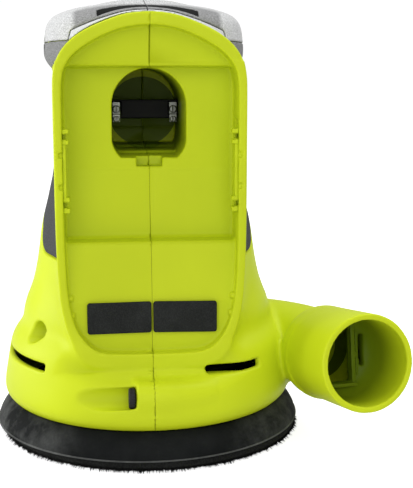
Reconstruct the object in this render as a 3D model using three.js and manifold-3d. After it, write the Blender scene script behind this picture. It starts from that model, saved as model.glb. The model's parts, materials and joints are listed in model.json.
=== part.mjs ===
// Cordless palm sander: clamshell body, battery bay, brushed motor, fan, eccentric and pad.
// Millimetres, +Z up along the motor shaft, -Y towards the battery bay, +X towards the dust port.
// The origin is on the shaft axis, on the underside of the hook layer.
import * as THREE from 'three';
import { mergeVertices } from 'three/addons/utils/BufferGeometryUtils.js';
import Module from 'manifold-3d';

const wasm = await Module();
wasm.setup();

// ---------------------------------------------------------------- driving dimensions
const GAP = 0.3; // clearance between neighbouring pieces
const SPLIT = 0.15; // half of the gap between the two housing halves
const JOIN = 0.5; // how far joined forms and cuts reach past each other
const WELD = 1e-4; // vertices closer than this are one vertex
const FAR = 200; // longer than anything in the object

const ROUND_LARGE = 40; // sides of a large round face
const ROUND_HEAD = 32;
const ROUND_MEDIUM = 24;
const ROUND_SMALL = 12;

const ORBIT = 1.2; // the pad's axis stands this far from the shaft
const PAD_R = 62.5;
const HOOK_TOP = 1.2;
const FOAM = { bottom: 1.5, rim: 4.1, top: 8.0, shoulderR: 56, topR: 52.5 };
const PLATE = { bottom: 8.3, top: 11.0, r: 52.5 };
const HUB = { bottom: 11.3, flange: 12.6, top: 21.4, flangeR: 18, spindleR: 6 };
const DUST_HOLE = { count: 8, r: 5, circleR: 32.5, phase: Math.PI / 8 };
const PAD_SCREW = {
  count: 3, circleR: 13, phase: Math.PI / 2, accessR: 4.6,
  headR: 4, headLength: 2.4, shankR: 1.8, length: 6.8, driveHalf: 1.6,
};

const BEARING = { bottom: 13.5, top: 21.5, innerR: 8.2, outerR: 14, raceInR: 11.3 };
const ECCENTRIC = { bottom: 13.2, top: 24.4, r: 17.5, boss: 8, bossTop: 30 };
const LOBE = { bottom: 17.5, top: 23.4, r: 34, halfAngle: 1.15 };
const FAN = { bladeBottom: 24.8, disc: 31.5, top: 33, r: 46, hubR: 12, blades: 12 };
const BAFFLE = { bottom: 36.9, top: 39.5, r: 54.4, hole: 9, chord: -43.8 }; // cut straight at the rear
const VANE = { thickness: 1.4, rake: 0.45, tipGap: 5 };

const SHAFT = { r: 3, bottom: 23, top: 104.8 };
const CAN = { r: 21, wall: 1.5, bottom: 40.2, top: 98 };
const MAGNET = { inR: 15.8, outR: 19.2, bottom: 52, top: 88, halfAngle: 1.1 };
const CORE = { r: 15, bottom: 54, top: 86, slots: 7, slotLength: 7.5, slotWidth: 2.4 };
const WINDING = { inR: 5, outR: 12.5, length: 4.7, round: 1.4 };
const COMMUTATOR = { r: 7, bottom: 91.3, top: 97.4 };
const BUSH = { r: 5.2, length: 5 };
const END_CAP = { r: 20.8, bottom: 98.3, top: 101.5, bossR: 7.5, bossTop: 104 };
const HOLDER = { near: 8.6, far: 15, half: 4.6, pocketHalf: 2.9 }; // brush holders under the end cap
const BRUSH = { near: 7.4, far: 14, half: 2.6, bottom: 92.6, top: 97.5 };
const MOTOR_SCREW = { circleR: 12.5, headR: 3.2, headLength: 2.1, shankR: 1.7, length: 10, holeR: 2.1 };

// Outside of the body as [radius, height] pairs, from the skirt's edge up to the waist.
const BODY_PROFILE = [
  [57.0, 14.6], [60.2, 16.8], [60.9, 20.5], [59.3, 31], [57.6, 40], [53.2, 46.5], [51.5, 54],
  [48.4, 62], [45.8, 72.5], [43.6, 86], [40.6, 101], [38.2, 118], [37.6, 132], [38.4, 150],
];
const SKIRT_WALL = 2.6;
const WAIST_WALL = 3.4;
const WAIST_FROM = 66; // the wall is thick enough for the side grips above this height

// The head is a domed form over a plan outline: [share of the outline, height] pairs.
const HEAD = {
  halfWidth: 42, centreY: 30, front: 33, rear: 56, frontPower: 2.3, rearPower: 3,
  middle: 163, top: 178.5, bottom: 144,
};
const HEAD_PROFILE = [
  [0, 144], [0.8, 145], [0.9, 148], [0.955, 152], [0.99, 157.5], [1, 163], [0.975, 168.5],
  [0.905, 172.3], [0.75, 175], [0.55, 176.8], [0.3, 178.1], [0, 178.5],
];
const HEAD_WALL = 5.2;
const HEAD_GRIP = { skin: 1.8, bottom: 146.5, parting: 163, rear: -14 };
const SIDE_GRIP = { skin: 1.5, bottom: 77, top: 142, rear: -25, front: 23, inside: 14 };

// Battery bay: an arch-topped rim around a stepped recess.
const BAY = { halfWidth: 36, rim: -47, bottom: 38.5, shoulder: 150, top: 171.3, lowerR: 15, root: -12 };
const RIM = { side: 3.1, top: 4.8, bottom: 4.0 };
const ARCH = { footIn: 1.2, footEase: 1.5, footRise: 8, sideRise: 50, drop: 3, crownRise: 9, crownIn: 11 };
const BAY_STEPS = [
  [-41.6, 166.5], [-39.3, 152.7], [-31, 151], [-30.5, 112], [-33, 86], [-40.3, 85],
  [-43.8, 62], [-44, 42.5],
]; // [y, z] of the recess floor, from the top down
const BAY_WALL = 2.6;
const BACKING_RISE = 4; // the recess wall's own backing ends this far above the bay
const SOCKET = {
  halfWidth: 14.4, bottom: 116.5, top: 151, depth: 31, wall: 2.2, notch: 5, notchZ: 113.1,
  footIn: 3, footRise: 6.5,
};
const LATCH = { y: -42.5, depth: 1.6, heights: [100, 125.5], height: 4.5, width: 5 };
const REAR_FLAT = [[-47, 95], [-47, 35.5], [-62, 27.5], [-80, 27.5], [-80, 95]]; // [y, z]

// Dust port: a tube with a slight outward turn, and a neck that leads into the fan chamber.
const PORT = {
  r: 18.8, bore: 16.7, length: 42, boreDepth: 29, azimuth: 0.2147, rise: 0.1326,
  neckOverlap: 4, neckBend: 20, neckSteps: 10,
};
const PORT_MOUTH = new THREE.Vector3(81.3, -60.8, 39.7);
const PORT_AXIS = new THREE.Vector3(
  Math.sin(PORT.azimuth) * Math.cos(PORT.rise),
  -Math.cos(PORT.azimuth) * Math.cos(PORT.rise),
  Math.sin(PORT.rise),
);
const PORT_ROOT = new THREE.Vector3(38, 27, 31); // where the neck's centre line starts
const PORT_LEAD = new THREE.Vector3(58, 22, 31); // the point that the centre line first heads for
const DUCT = { width: 21, height: 22 };

const VENT = { z: 35.5, height: 3.3, innerR: 50, outerR: 66 };
const VENTS = [[23, 47], [-88, -46], [-134, -92]]; // degrees from -Y towards +X
const BRAKE_TOP = 17;
const BRAKE_OUTSIDE = [
  [58.2, 4.9], [63.3, 4.6], [63.9, 5.6], [63.3, 7.8], [61.4, 10.6], [58.8, 13.4], [57.4, 14.2],
];
const BRAKE_INSIDE = [[56.2, 12], [58.8, 8.4], [58.2, 4.9]];

// Case screws lie along X with their heads in the left half.
const CASE_SCREW = {
  headR: 3.9, headLength: 2.6, shankR: 1.7, reach: 9, recess: 4.3, boss: 6.3,
  driveReach: 2.4, driveHalf: 0.5, driveDepth: 0.9,
};
const CASE_SCREWS = [
  { y: -55.5, z: 27.5, head: -7 },
  { y: 52.5, z: 27.5, head: -7 },
  { y: -28, z: 47, head: -12 },
  { y: 28, z: 47, head: -12 },
  { y: 27, z: 106, head: -12 },
  { y: 30, z: 161, head: -12 },
];

const TERMINAL = {
  halfWidth: 13.6, near: 8, far: 14, bottom: 130, top: 137.7,
  grooveHalf: 6.1, grooveEdge: 2, grooveDepth: 1.5,
};
const CONTACT = { xs: [-11.6, -8.2, 8.2, 11.6], thickness: 0.8, near: 1.6, bottom: 131.3, top: 136.4 };
const PAD_STRIP = { near: 0.5, far: 25, bottom: 50, top: 62, y: -44.35, thickness: 1.2 };
const SWITCH = { z: 156.5, halfWidth: 7.5, halfHeight: 4.8, back: 40, front: 53 };
const PIN = { x: 4, halfWidth: 1.2, halfHeight: 2.6, length: 4 };
const BEZEL = { halfWidth: 8.2, halfHeight: 6.2, back: 53.6, front: 64.2, holeW: 5.8, holeH: 5.2 };
const ROCKER = { pivotY: 59, halfWidth: 5.3, tilt: 0.14 };
const ROCKER_PROFILE = [
  [-4.4, -2.4], [-4.6, 0], [-4.4, 2.4], [-1, 4], [4.9, 4], [3.6, 0], [4.9, -4], [-1, -4],
]; // [y, z] around the pivot
const LEAD = { r: 1.1, sides: 6, steps: 18 };
const LEAD_ROUTE = [
  [12, 10, 101.8], [17, 12, 106], [24, 13, 115], [25, 12, 135], [23, 19, 149], [21, 30, 152.2],
  [16, 42, 153.6], [8.9, 47, 154.5],
]; // from the end cap to the switch's side

// ---------------------------------------------------------------- finishes
function finish(color, roughness, metalness) {
  return new THREE.MeshStandardMaterial({ color, roughness, metalness });
}

const FINISH = {
  shell: () => finish(0xb8ca28, 0.42, 0),
  grip: () => finish(0x8f9496, 0.8, 0),
  sideGrip: () => finish(0x55595b, 0.85, 0),
  rubber: () => finish(0x1c1f1f, 0.75, 0),
  foam: () => finish(0x2b2d2b, 0.95, 0),
  hook: () => finish(0x4a4d4c, 1, 0),
  plastic: () => finish(0x1d1e20, 0.5, 0),
  steel: () => finish(0x9a9d9f, 0.35, 1),
  darkSteel: () => finish(0x26282a, 0.45, 0.8),
  copper: () => finish(0xb06a3a, 0.4, 1),
  brass: () => finish(0xc9a44c, 0.35, 1),
  ferrite: () => finish(0x3a3b3d, 0.8, 0.1),
  zinc: () => finish(0xa8abad, 0.5, 0.9),
  carbon: () => finish(0x2f3031, 0.7, 0.2),
  redWire: () => finish(0xb3201c, 0.5, 0),
  blackWire: () => finish(0x151515, 0.5, 0),
};

// ---------------------------------------------------------------- solids
function signedVolume(position, triangles) {
  const a = new THREE.Vector3();
  const b = new THREE.Vector3();
  const c = new THREE.Vector3();
  let total = 0;
  for (let i = 0; i < triangles.length; i += 3) {
    a.fromArray(position, triangles[i] * 3);
    b.fromArray(position, triangles[i + 1] * 3);
    c.fromArray(position, triangles[i + 2] * 3);
    total += a.dot(b.cross(c));
  }
  return total;
}

// A closed geometry becomes a solid with its faces outwards.
function solid(geometry) {
  const bare = geometry.clone();
  bare.deleteAttribute('normal');
  bare.deleteAttribute('uv');
  const merged = mergeVertices(bare, WELD);
  const position = merged.attributes.position.array;
  const index = merged.index.array;
  const triangles = [];
  for (let i = 0; i < index.length; i += 3) {
    const [a, b, c] = [index[i], index[i + 1], index[i + 2]];
    if (a !== b && b !== c && c !== a) triangles.push(a, b, c);
  }
  if (signedVolume(position, triangles) < 0) triangles.reverse();
  return new wasm.Manifold(new wasm.Mesh({
    numProp: 3,
    vertProperties: new Float32Array(position),
    triVerts: new Uint32Array(triangles),
  }));
}

function union(solids) {
  return solids.reduce((whole, next) => whole.add(next));
}

function part(name, body, material) {
  const data = body.getMesh();
  const geometry = new THREE.BufferGeometry();
  geometry.setAttribute('position', new THREE.BufferAttribute(new Float32Array(data.vertProperties), 3));
  geometry.setIndex(new THREE.BufferAttribute(new Uint32Array(data.triVerts), 1));
  geometry.computeVertexNormals();
  const mesh = new THREE.Mesh(geometry, material);
  mesh.name = name;
  return mesh;
}

function box(low, high) {
  const size = high.map((value, i) => value - low[i]);
  const middle = high.map((value, i) => (value + low[i]) / 2);
  return solid(new THREE.BoxGeometry(...size).translate(...middle));
}

// Upright cylinder around the point (x, y).
function disc(r, bottom, top, sides = ROUND_MEDIUM, x = 0, y = 0) {
  const geometry = new THREE.CylinderGeometry(r, r, top - bottom, sides);
  return solid(geometry.rotateX(Math.PI / 2).translate(x, y, (top + bottom) / 2));
}

// Cylinder along X around the point (y, z).
function bar(r, left, right, y, z, sides = ROUND_SMALL) {
  const geometry = new THREE.CylinderGeometry(r, r, right - left, sides);
  return solid(geometry.rotateZ(Math.PI / 2).translate((left + right) / 2, y, z));
}

// Solid of revolution about Z from [radius, height] pairs that end on the axis or close on themselves.
function turned(pairs, sides = ROUND_LARGE) {
  const points = pairs.map(([r, z]) => new THREE.Vector2(r, z));
  return solid(new THREE.LatheGeometry(points, sides).rotateX(Math.PI / 2).scale(1, -1, 1));
}

function ring(inner, outer, bottom, top, sides = ROUND_MEDIUM) {
  return disc(outer, bottom, top, sides).subtract(disc(inner, bottom - 1, top + 1, sides));
}

// Part of a ring between two angles, in radians from +X.
function sector(inner, outer, from, to, bottom, top) {
  const shape = new THREE.Shape();
  shape.absarc(0, 0, outer, from, to, false);
  shape.absarc(0, 0, inner, to, from, true);
  const geometry = new THREE.ExtrudeGeometry(shape, {
    depth: top - bottom, bevelEnabled: false, curveSegments: ROUND_SMALL,
  });
  return solid(geometry.translate(0, 0, bottom));
}

// A shape drawn in X and Z, carried along Y from back to front.
function alongY(shape, from, to, curveSegments = 8) {
  const geometry = new THREE.ExtrudeGeometry(shape, { depth: to - from, bevelEnabled: false, curveSegments });
  return solid(geometry.rotateX(Math.PI / 2).translate(0, to, 0));
}

// A polygon of [y, z] pairs, carried along X.
function alongX(pairs, left, right) {
  const shape = new THREE.Shape(pairs.map(([y, z]) => new THREE.Vector2(y, z)));
  const geometry = new THREE.ExtrudeGeometry(shape, { depth: right - left, bevelEnabled: false });
  geometry.applyMatrix4(new THREE.Matrix4().set(0, 0, 1, left, 1, 0, 0, 0, 0, 1, 0, 0, 0, 0, 0, 1));
  return solid(geometry);
}

function sweep(shape, curve, steps) {
  return solid(new THREE.ExtrudeGeometry(shape, { extrudePath: curve, steps, curveSegments: 8 }));
}

function circle(r) {
  const shape = new THREE.Shape();
  shape.absarc(0, 0, r, 0, Math.PI * 2, false);
  return shape;
}

// ---------------------------------------------------------------- housing forms
function bodyForm(inset, low = BODY_PROFILE[0][1]) {
  const rim = BODY_PROFILE[0];
  const last = BODY_PROFILE[BODY_PROFILE.length - 1];
  const pairs = [[0, low], [rim[0] - inset, low]];
  for (const [r, z] of BODY_PROFILE.slice(low < rim[1] ? 0 : 1)) pairs.push([r - inset, z]);
  pairs.push([0, last[1]]);
  return turned(pairs);
}

// Radius of the head's plan outline in a direction from its centre.
function headOutline(angle, inset) {
  const inFront = Math.sin(angle) > 0;
  const depth = inFront ? HEAD.front : HEAD.rear;
  const power = inFront ? HEAD.frontPower : HEAD.rearPower;
  const across = Math.abs(Math.cos(angle)) / (HEAD.halfWidth - inset);
  const along = Math.abs(Math.sin(angle)) / (depth - inset);
  return (across ** power + along ** power) ** (-1 / power);
}

function headForm(inset) {
  const points = HEAD_PROFILE.map(([share, z]) => {
    const reach = z > HEAD.middle ? HEAD.top - HEAD.middle : HEAD.middle - HEAD.bottom;
    return new THREE.Vector2(share, HEAD.middle + ((z - HEAD.middle) * (reach - inset)) / reach);
  });
  const geometry = new THREE.LatheGeometry(points, ROUND_HEAD).rotateX(Math.PI / 2);
  const position = geometry.attributes.position;
  for (let i = 0; i < position.count; i += 1) {
    const angle = Math.atan2(position.getY(i), position.getX(i));
    const reach = Math.hypot(position.getX(i), position.getY(i)) * headOutline(angle, inset);
    const [x, y] = [reach * Math.cos(angle), HEAD.centreY + reach * Math.sin(angle)];
    position.setXYZ(i, x, y, position.getZ(i));
  }
  return solid(geometry);
}

// Arch outline of the bay in X and Z, drawn smaller by the rim's widths.
function archShape(side = 0, top = 0, bottom = 0) {
  const w = BAY.halfWidth - side;
  const low = BAY.bottom + bottom;
  const high = BAY.top - top;
  const r = BAY.lowerR - side;
  const foot = low + r + ARCH.footRise;
  const shoulder = BAY.shoulder - ARCH.drop;
  const crown = BAY.shoulder + ARCH.crownRise;
  const shape = new THREE.Shape();
  shape.moveTo(-w + r, low);
  shape.lineTo(w - r, low);
  shape.quadraticCurveTo(w - ARCH.footEase, low, w - ARCH.footIn, foot);
  shape.lineTo(w, low + ARCH.sideRise);
  shape.lineTo(w, shoulder);
  shape.bezierCurveTo(w, crown, w - ARCH.crownIn, high, 0, high);
  shape.bezierCurveTo(-w + ARCH.crownIn, high, -w, crown, -w, shoulder);
  shape.lineTo(-w, low + ARCH.sideRise);
  shape.lineTo(-w + ARCH.footIn, foot);
  shape.quadraticCurveTo(-w + ARCH.footEase, low, -w + r, low);
  return shape;
}

// Outline of the stem socket, drawn larger by grow.
function socketShape(grow = 0) {
  const w = SOCKET.halfWidth + grow;
  const low = SOCKET.bottom - grow;
  const centre = SOCKET.top - SOCKET.halfWidth;
  const shape = new THREE.Shape();
  shape.moveTo(SOCKET.notch + grow, low);
  shape.lineTo(w - SOCKET.footIn, low);
  shape.lineTo(w, low + SOCKET.footRise);
  shape.lineTo(w, centre);
  shape.absarc(0, centre, w, 0, Math.PI, false);
  shape.lineTo(-w, low + SOCKET.footRise);
  shape.lineTo(-w + SOCKET.footIn, low);
  shape.lineTo(-SOCKET.notch - grow, low);
  shape.lineTo(-SOCKET.notch - grow, SOCKET.notchZ - grow);
  shape.lineTo(SOCKET.notch + grow, SOCKET.notchZ - grow);
  return shape;
}

function bayRecess() {
  const pairs = [[-FAR, BAY_STEPS[0][1]], ...BAY_STEPS, [-FAR, BAY_STEPS[BAY_STEPS.length - 1][1]]];
  const inside = alongY(archShape(RIM.side, RIM.top, RIM.bottom), -FAR, 0);
  return alongX(pairs, -BAY.halfWidth, BAY.halfWidth).intersect(inside);
}

// The material behind the recess floor, which the body's hollow must leave standing.
function bayBacking() {
  const pairs = BAY_STEPS.map(([y, z]) => [y + BAY_WALL, z]);
  const [topY] = pairs[0];
  const [lowY, lowZ] = pairs[pairs.length - 1];
  const [, [flatY, flatZ], [slopeY, slopeZ]] = REAR_FLAT;
  const floor = lowZ - BAY_WALL;
  const outline = [
    [-FAR, BAY.top + BACKING_RISE], [topY, BAY.top + BACKING_RISE], ...pairs,
    [lowY, floor], [flatY + BAY_WALL, floor],
    [flatY + BAY_WALL, flatZ - 1], [slopeY + BAY_WALL, slopeZ - 1], [-FAR, slopeZ - 1],
  ];
  return alongX(outline, -FAR, FAR);
}

function neckCurve() {
  const end = PORT_MOUTH.clone().addScaledVector(PORT_AXIS, PORT.neckOverlap - PORT.length);
  const bend = PORT_MOUTH.clone().addScaledVector(PORT_AXIS, -PORT.neckBend - PORT.length);
  return new THREE.CubicBezierCurve3(PORT_ROOT, PORT_LEAD, bend, end);
}

// Cylinder along the port's axis between two depths below the mouth.
function portBar(r, from, to) {
  const geometry = new THREE.CylinderGeometry(r, r, to - from, ROUND_MEDIUM);
  const turn = new THREE.Quaternion().setFromUnitVectors(new THREE.Vector3(0, 1, 0), PORT_AXIS);
  const centre = PORT_MOUTH.clone().addScaledVector(PORT_AXIS, -(from + to) / 2);
  return solid(geometry.applyQuaternion(turn).translate(...centre));
}

function portOutside() {
  const neck = sweep(circle(PORT.r), neckCurve(), PORT.neckSteps);
  const above = box([0, -FAR, BODY_PROFILE[0][1]], [FAR, FAR, FAR]);
  return portBar(PORT.r, 0, PORT.length).add(neck).intersect(above);
}

function portInside() {
  const duct = new THREE.Shape();
  duct.moveTo(-DUCT.height / 2, -DUCT.width / 2);
  duct.lineTo(DUCT.height / 2, -DUCT.width / 2);
  duct.lineTo(DUCT.height / 2, DUCT.width / 2);
  duct.lineTo(-DUCT.height / 2, DUCT.width / 2);
  const passage = sweep(duct, neckCurve(), PORT.neckSteps);
  const behindBore = portBar(DUCT.width / 2, PORT.boreDepth - JOIN, PORT.length);
  return union([portBar(PORT.bore, -JOIN, PORT.boreDepth), passage, behindBore]);
}

// The port's neck stands where a fourth vent would be.
function vents() {
  return union(VENTS.map((angles) => {
    const [start, end] = angles.map((angle) => THREE.MathUtils.degToRad(angle - 90));
    const [bottom, top] = [VENT.z - VENT.height / 2, VENT.z + VENT.height / 2];
    return sector(VENT.innerR, VENT.outerR, start, end, bottom, top);
  }));
}

function latchHoles() {
  const half = BAY.halfWidth - RIM.side;
  const cuts = [];
  for (const side of [-1, 1]) {
    for (const z of LATCH.heights) {
      const xs = [side * (half - JOIN), side * (half + LATCH.depth)].sort((p, q) => p - q);
      const low = [xs[0], LATCH.y - LATCH.width / 2, z - LATCH.height / 2];
      cuts.push(box(low, [xs[1], LATCH.y + LATCH.width / 2, z + LATCH.height / 2]));
    }
  }
  return union(cuts);
}

// Where the head's grips lie, above or below the parting line, or both.
function headGripRegion(bottom, top, grow = 0) {
  return box([-FAR, HEAD_GRIP.rear - grow, bottom - grow], [FAR, FAR, top + grow]);
}

function sideGripRegion(side, grow = 0) {
  const xs = [side * (SIDE_GRIP.inside - grow), side * FAR].sort((p, q) => p - q);
  const low = [xs[0], SIDE_GRIP.rear - grow, SIDE_GRIP.bottom - grow];
  return box(low, [xs[1], SIDE_GRIP.front + grow, SIDE_GRIP.top + grow]);
}

function outside() {
  const headGrips = headGripRegion(HEAD_GRIP.bottom, FAR, GAP);
  const head = headForm(0).subtract(headGrips).add(headForm(HEAD_GRIP.skin + GAP));
  const sides = sideGripRegion(-1, GAP).add(sideGripRegion(1, GAP));
  const body = bodyForm(0).subtract(sides).add(bodyForm(SIDE_GRIP.skin + GAP));
  const rearFlat = alongX(REAR_FLAT, -BAY.halfWidth, BAY.halfWidth);
  const bay = alongY(archShape(), BAY.rim, BAY.root);
  return body.subtract(rearFlat).add(head).add(bay);
}

function bossBars() {
  return union(CASE_SCREWS.map(({ y, z }) => bar(CASE_SCREW.boss, -FAR, FAR, y, z)));
}

function screwHoles() {
  const cuts = [];
  for (const { y, z, head } of CASE_SCREWS) {
    cuts.push(bar(CASE_SCREW.recess, -FAR, head, y, z));
    cuts.push(bar(CASE_SCREW.shankR + GAP, head - JOIN, CASE_SCREW.reach + GAP, y, z));
  }
  return union(cuts);
}

function hollow() {
  const low = box([-FAR, -FAR, 0], [FAR, FAR, WAIST_FROM]);
  const high = box([-FAR, -FAR, WAIST_FROM - JOIN], [FAR, FAR, FAR]);
  const chamber = bodyForm(SKIRT_WALL, BODY_PROFILE[0][1] - JOIN).intersect(low);
  const waist = bodyForm(WAIST_WALL).intersect(high);
  return union([chamber, waist, headForm(HEAD_WALL)]).subtract(bayBacking());
}

function housing() {
  const whole = outside().add(portOutside());
  const floorY = Math.max(...BAY_STEPS.map(([y]) => y));
  const socketWall = alongY(socketShape(SOCKET.wall), floorY - JOIN, SOCKET.depth + SOCKET.wall);
  const inner = hollow().subtract(bossBars()).subtract(socketWall);
  const motorRoom = disc(CAN.r + GAP, CAN.bottom - GAP, END_CAP.top + GAP, ROUND_MEDIUM);
  const cuts = [
    inner, motorRoom, bayRecess(), alongY(socketShape(), -FAR, SOCKET.depth), portInside(),
    vents(), latchHoles(), screwHoles(), switchHole(),
  ];
  return cuts.reduce((left, cut) => left.subtract(cut), whole);
}

function switchHole() {
  const [w, h] = [BEZEL.halfWidth + GAP, BEZEL.halfHeight + GAP];
  return box([-w, SWITCH.front, SWITCH.z - h], [w, FAR, SWITCH.z + h]);
}

function halfSpace(side, from = SPLIT) {
  const xs = [side * from, side * FAR].sort((p, q) => p - q);
  return box([xs[0], -FAR, -FAR], [xs[1], FAR, FAR]);
}

// ---------------------------------------------------------------- housing pieces
function housingPieces() {
  const whole = housing();
  return [
    part('left_housing', whole.intersect(halfSpace(-1)), FINISH.shell()),
    part('right_housing', whole.intersect(halfSpace(1)), FINISH.shell()),
  ];
}

function gripPieces() {
  const { skin, bottom, parting } = HEAD_GRIP;
  const bayRoom = alongY(archShape(-GAP, -GAP, -GAP), BAY.rim - JOIN, BAY.root + GAP);
  const openings = union([screwHoles(), bayRoom, switchHole()]);
  const headSkin = headForm(0).subtract(headForm(skin)).subtract(openings);
  const sideSkin = bodyForm(0).subtract(bodyForm(SIDE_GRIP.skin)).subtract(bayRoom).subtract(headForm(-GAP));
  const upper = headSkin.intersect(headGripRegion(parting, FAR));
  const lower = headSkin.intersect(headGripRegion(bottom, parting - GAP)).subtract(bodyForm(-GAP));
  const pieces = [];
  for (const [name, side] of [['left', -1], ['right', 1]]) {
    pieces.push(part(`top_grip_${name}`, upper.intersect(halfSpace(side)), FINISH.grip()));
    pieces.push(part(`lower_grip_${name}`, lower.intersect(halfSpace(side)), FINISH.grip()));
    pieces.push(part(`side_grip_${name}`, sideSkin.intersect(sideGripRegion(side)), FINISH.sideGrip()));
  }
  return pieces;
}

function brakeSkirt() {
  const neck = BODY_PROFILE[0][0] - SKIRT_WALL - GAP;
  const [lip] = BRAKE_INSIDE;
  const shoulder = BRAKE_OUTSIDE[BRAKE_OUTSIDE.length - 1];
  const inner = neck - 2;
  const profile = [
    ...BRAKE_OUTSIDE, [neck, shoulder[1]], [neck, BRAKE_TOP], [inner, BRAKE_TOP], [inner, lip[1] + 1],
    ...BRAKE_INSIDE,
  ];
  return part('brake_skirt', turned(profile), FINISH.rubber());
}

function caseScrews() {
  const { headR, headLength, shankR, reach, driveReach, driveHalf, driveDepth } = CASE_SCREW;
  return CASE_SCREWS.map(({ y, z, head }, i) => {
    const cap = bar(headR, 0, headLength, 0, 0);
    const slot = box([-JOIN, -driveReach, -driveHalf], [driveDepth, driveReach, driveHalf]);
    const cross = box([-JOIN, -driveHalf, -driveReach], [driveDepth, driveHalf, driveReach]);
    const shank = bar(shankR, headLength - JOIN, reach - head, 0, 0);
    const body = cap.subtract(slot).subtract(cross).add(shank);
    const screw = part(`case_screw_${i + 1}`, body, FINISH.darkSteel());
    screw.position.set(head - headLength - GAP, y, z);
    return screw;
  });
}

function foamStrips() {
  return [['left', -1], ['right', 1]].map(([name, side]) => {
    const xs = [side * PAD_STRIP.near, side * PAD_STRIP.far].sort((p, q) => p - q);
    const strip = box([xs[0], PAD_STRIP.y - PAD_STRIP.thickness, PAD_STRIP.bottom],
      [xs[1], PAD_STRIP.y, PAD_STRIP.top]);
    return part(`bay_foam_${name}`, strip, FINISH.foam());
  });
}

function terminals() {
  const { halfWidth, near, far, bottom, top, grooveHalf, grooveEdge, grooveDepth } = TERMINAL;
  const block = box([-halfWidth, near, bottom], [halfWidth, far, top]);
  const groove = box([-grooveHalf, near - JOIN, bottom + grooveEdge],
    [grooveHalf, near + grooveDepth, top - grooveEdge]);
  const pieces = [part('terminal_block', block.subtract(groove), FINISH.plastic())];
  CONTACT.xs.forEach((x, i) => {
    const half = CONTACT.thickness / 2;
    const blade = box([x - half, CONTACT.near, CONTACT.bottom], [x + half, near - GAP, CONTACT.top]);
    pieces.push(part(`battery_contact_${i + 1}`, blade, FINISH.brass()));
  });
  return pieces;
}

function switchPieces() {
  const { halfWidth: w, halfHeight: h, back, front, z } = SWITCH;
  const pins = [-PIN.x, PIN.x].map((x) => box([x - PIN.halfWidth, back - PIN.length, z - PIN.halfHeight],
    [x + PIN.halfWidth, back + JOIN, z + PIN.halfHeight]));
  const body = union([box([-w, back, z - h], [w, front, z + h]), ...pins]);
  const frame = box([-BEZEL.halfWidth, BEZEL.back, z - BEZEL.halfHeight],
    [BEZEL.halfWidth, BEZEL.front, z + BEZEL.halfHeight]);
  const window = box([-BEZEL.holeW, 0, z - BEZEL.holeH], [BEZEL.holeW, FAR, z + BEZEL.holeH]);
  return [
    part('switch_body', body, FINISH.plastic()),
    part('switch_bezel', frame.subtract(window), FINISH.rubber()),
  ];
}

function leadSection() {
  const points = Array.from({ length: LEAD.sides }, (_, i) => {
    const angle = (i / LEAD.sides) * Math.PI * 2;
    return new THREE.Vector2(LEAD.r * Math.cos(angle), LEAD.r * Math.sin(angle));
  });
  return new THREE.Shape(points);
}

function powerLeads() {
  const aboveCap = box([-FAR, -FAR, END_CAP.top + GAP], [FAR, FAR, FAR]);
  const leads = [['positive', -1, FINISH.redWire()], ['negative', 1, FINISH.blackWire()]];
  return leads.map(([name, side, look]) => {
    const points = LEAD_ROUTE.map(([x, y, z]) => new THREE.Vector3(side * x, y, z));
    const lead = sweep(leadSection(), new THREE.CatmullRomCurve3(points), LEAD.steps);
    return part(`${name}_lead`, lead.intersect(aboveCap), look);
  });
}

// ---------------------------------------------------------------- fixed motor pieces
function motorScrewHoles() {
  const { circleR, holeR } = MOTOR_SCREW;
  return union([-1, 1].map((side) => disc(holeR, 0, CAN.bottom + 10, ROUND_SMALL, 0, side * circleR)));
}

function fanBaffle() {
  const plate = ring(BAFFLE.hole, BAFFLE.r, BAFFLE.bottom, BAFFLE.top, ROUND_LARGE);
  const chord = box([-FAR, -FAR, 0], [FAR, BAFFLE.chord, FAR]);
  return part('fan_baffle', plate.subtract(motorScrewHoles()).subtract(chord), FINISH.plastic());
}

function motorCan() {
  const { r, wall, bottom, top } = CAN;
  const shell = disc(r, bottom, top).subtract(disc(r - wall, bottom + wall, top + 1));
  const nose = disc(BUSH.r + 2, bottom, bottom + BUSH.length + 1);
  const bore = disc(BUSH.r + GAP, 0, BUSH.length + bottom + 10);
  return part('motor_can', shell.add(nose).subtract(bore).subtract(motorScrewHoles()), FINISH.steel());
}

function motorEndCap() {
  const { r, bottom, top, bossR, bossTop } = END_CAP;
  const { near, far, half, pocketHalf } = HOLDER;
  const plate = disc(r, bottom, top).add(disc(bossR, bottom, bossTop));
  const holders = [-1, 1].map((side) => {
    const xs = [side * near, side * far].sort((p, q) => p - q);
    return box([xs[0], -half, COMMUTATOR.bottom], [xs[1], half, bottom + JOIN]);
  });
  const pockets = box([-far - 1, -pocketHalf, COMMUTATOR.bottom + 1], [far + 1, pocketHalf, bottom - JOIN]);
  const body = plate.add(union(holders)).subtract(pockets).subtract(disc(BUSH.r + GAP, 0, FAR));
  return part('motor_end_cap', body, FINISH.plastic());
}

function motorBrushes() {
  const { near, far, half, bottom, top } = BRUSH;
  return [['left', -1], ['right', 1]].map(([name, side]) => {
    const xs = [side * near, side * far].sort((p, q) => p - q);
    return part(`brush_${name}`, box([xs[0], -half, bottom], [xs[1], half, top]), FINISH.carbon());
  });
}

function motorMagnets() {
  const { inR, outR, bottom, top, halfAngle } = MAGNET;
  return [['left', Math.PI], ['right', 0]].map(([name, turn]) => {
    const magnet = sector(inR, outR, turn - halfAngle, turn + halfAngle, bottom, top);
    return part(`magnet_${name}`, magnet, FINISH.ferrite());
  });
}

function motorBushes() {
  return [['lower', CAN.bottom + GAP], ['upper', END_CAP.bottom + GAP]].map(([name, z]) => {
    const bush = ring(SHAFT.r + GAP, BUSH.r, z, z + BUSH.length, ROUND_SMALL);
    return part(`${name}_bush`, bush, FINISH.brass());
  });
}

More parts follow.
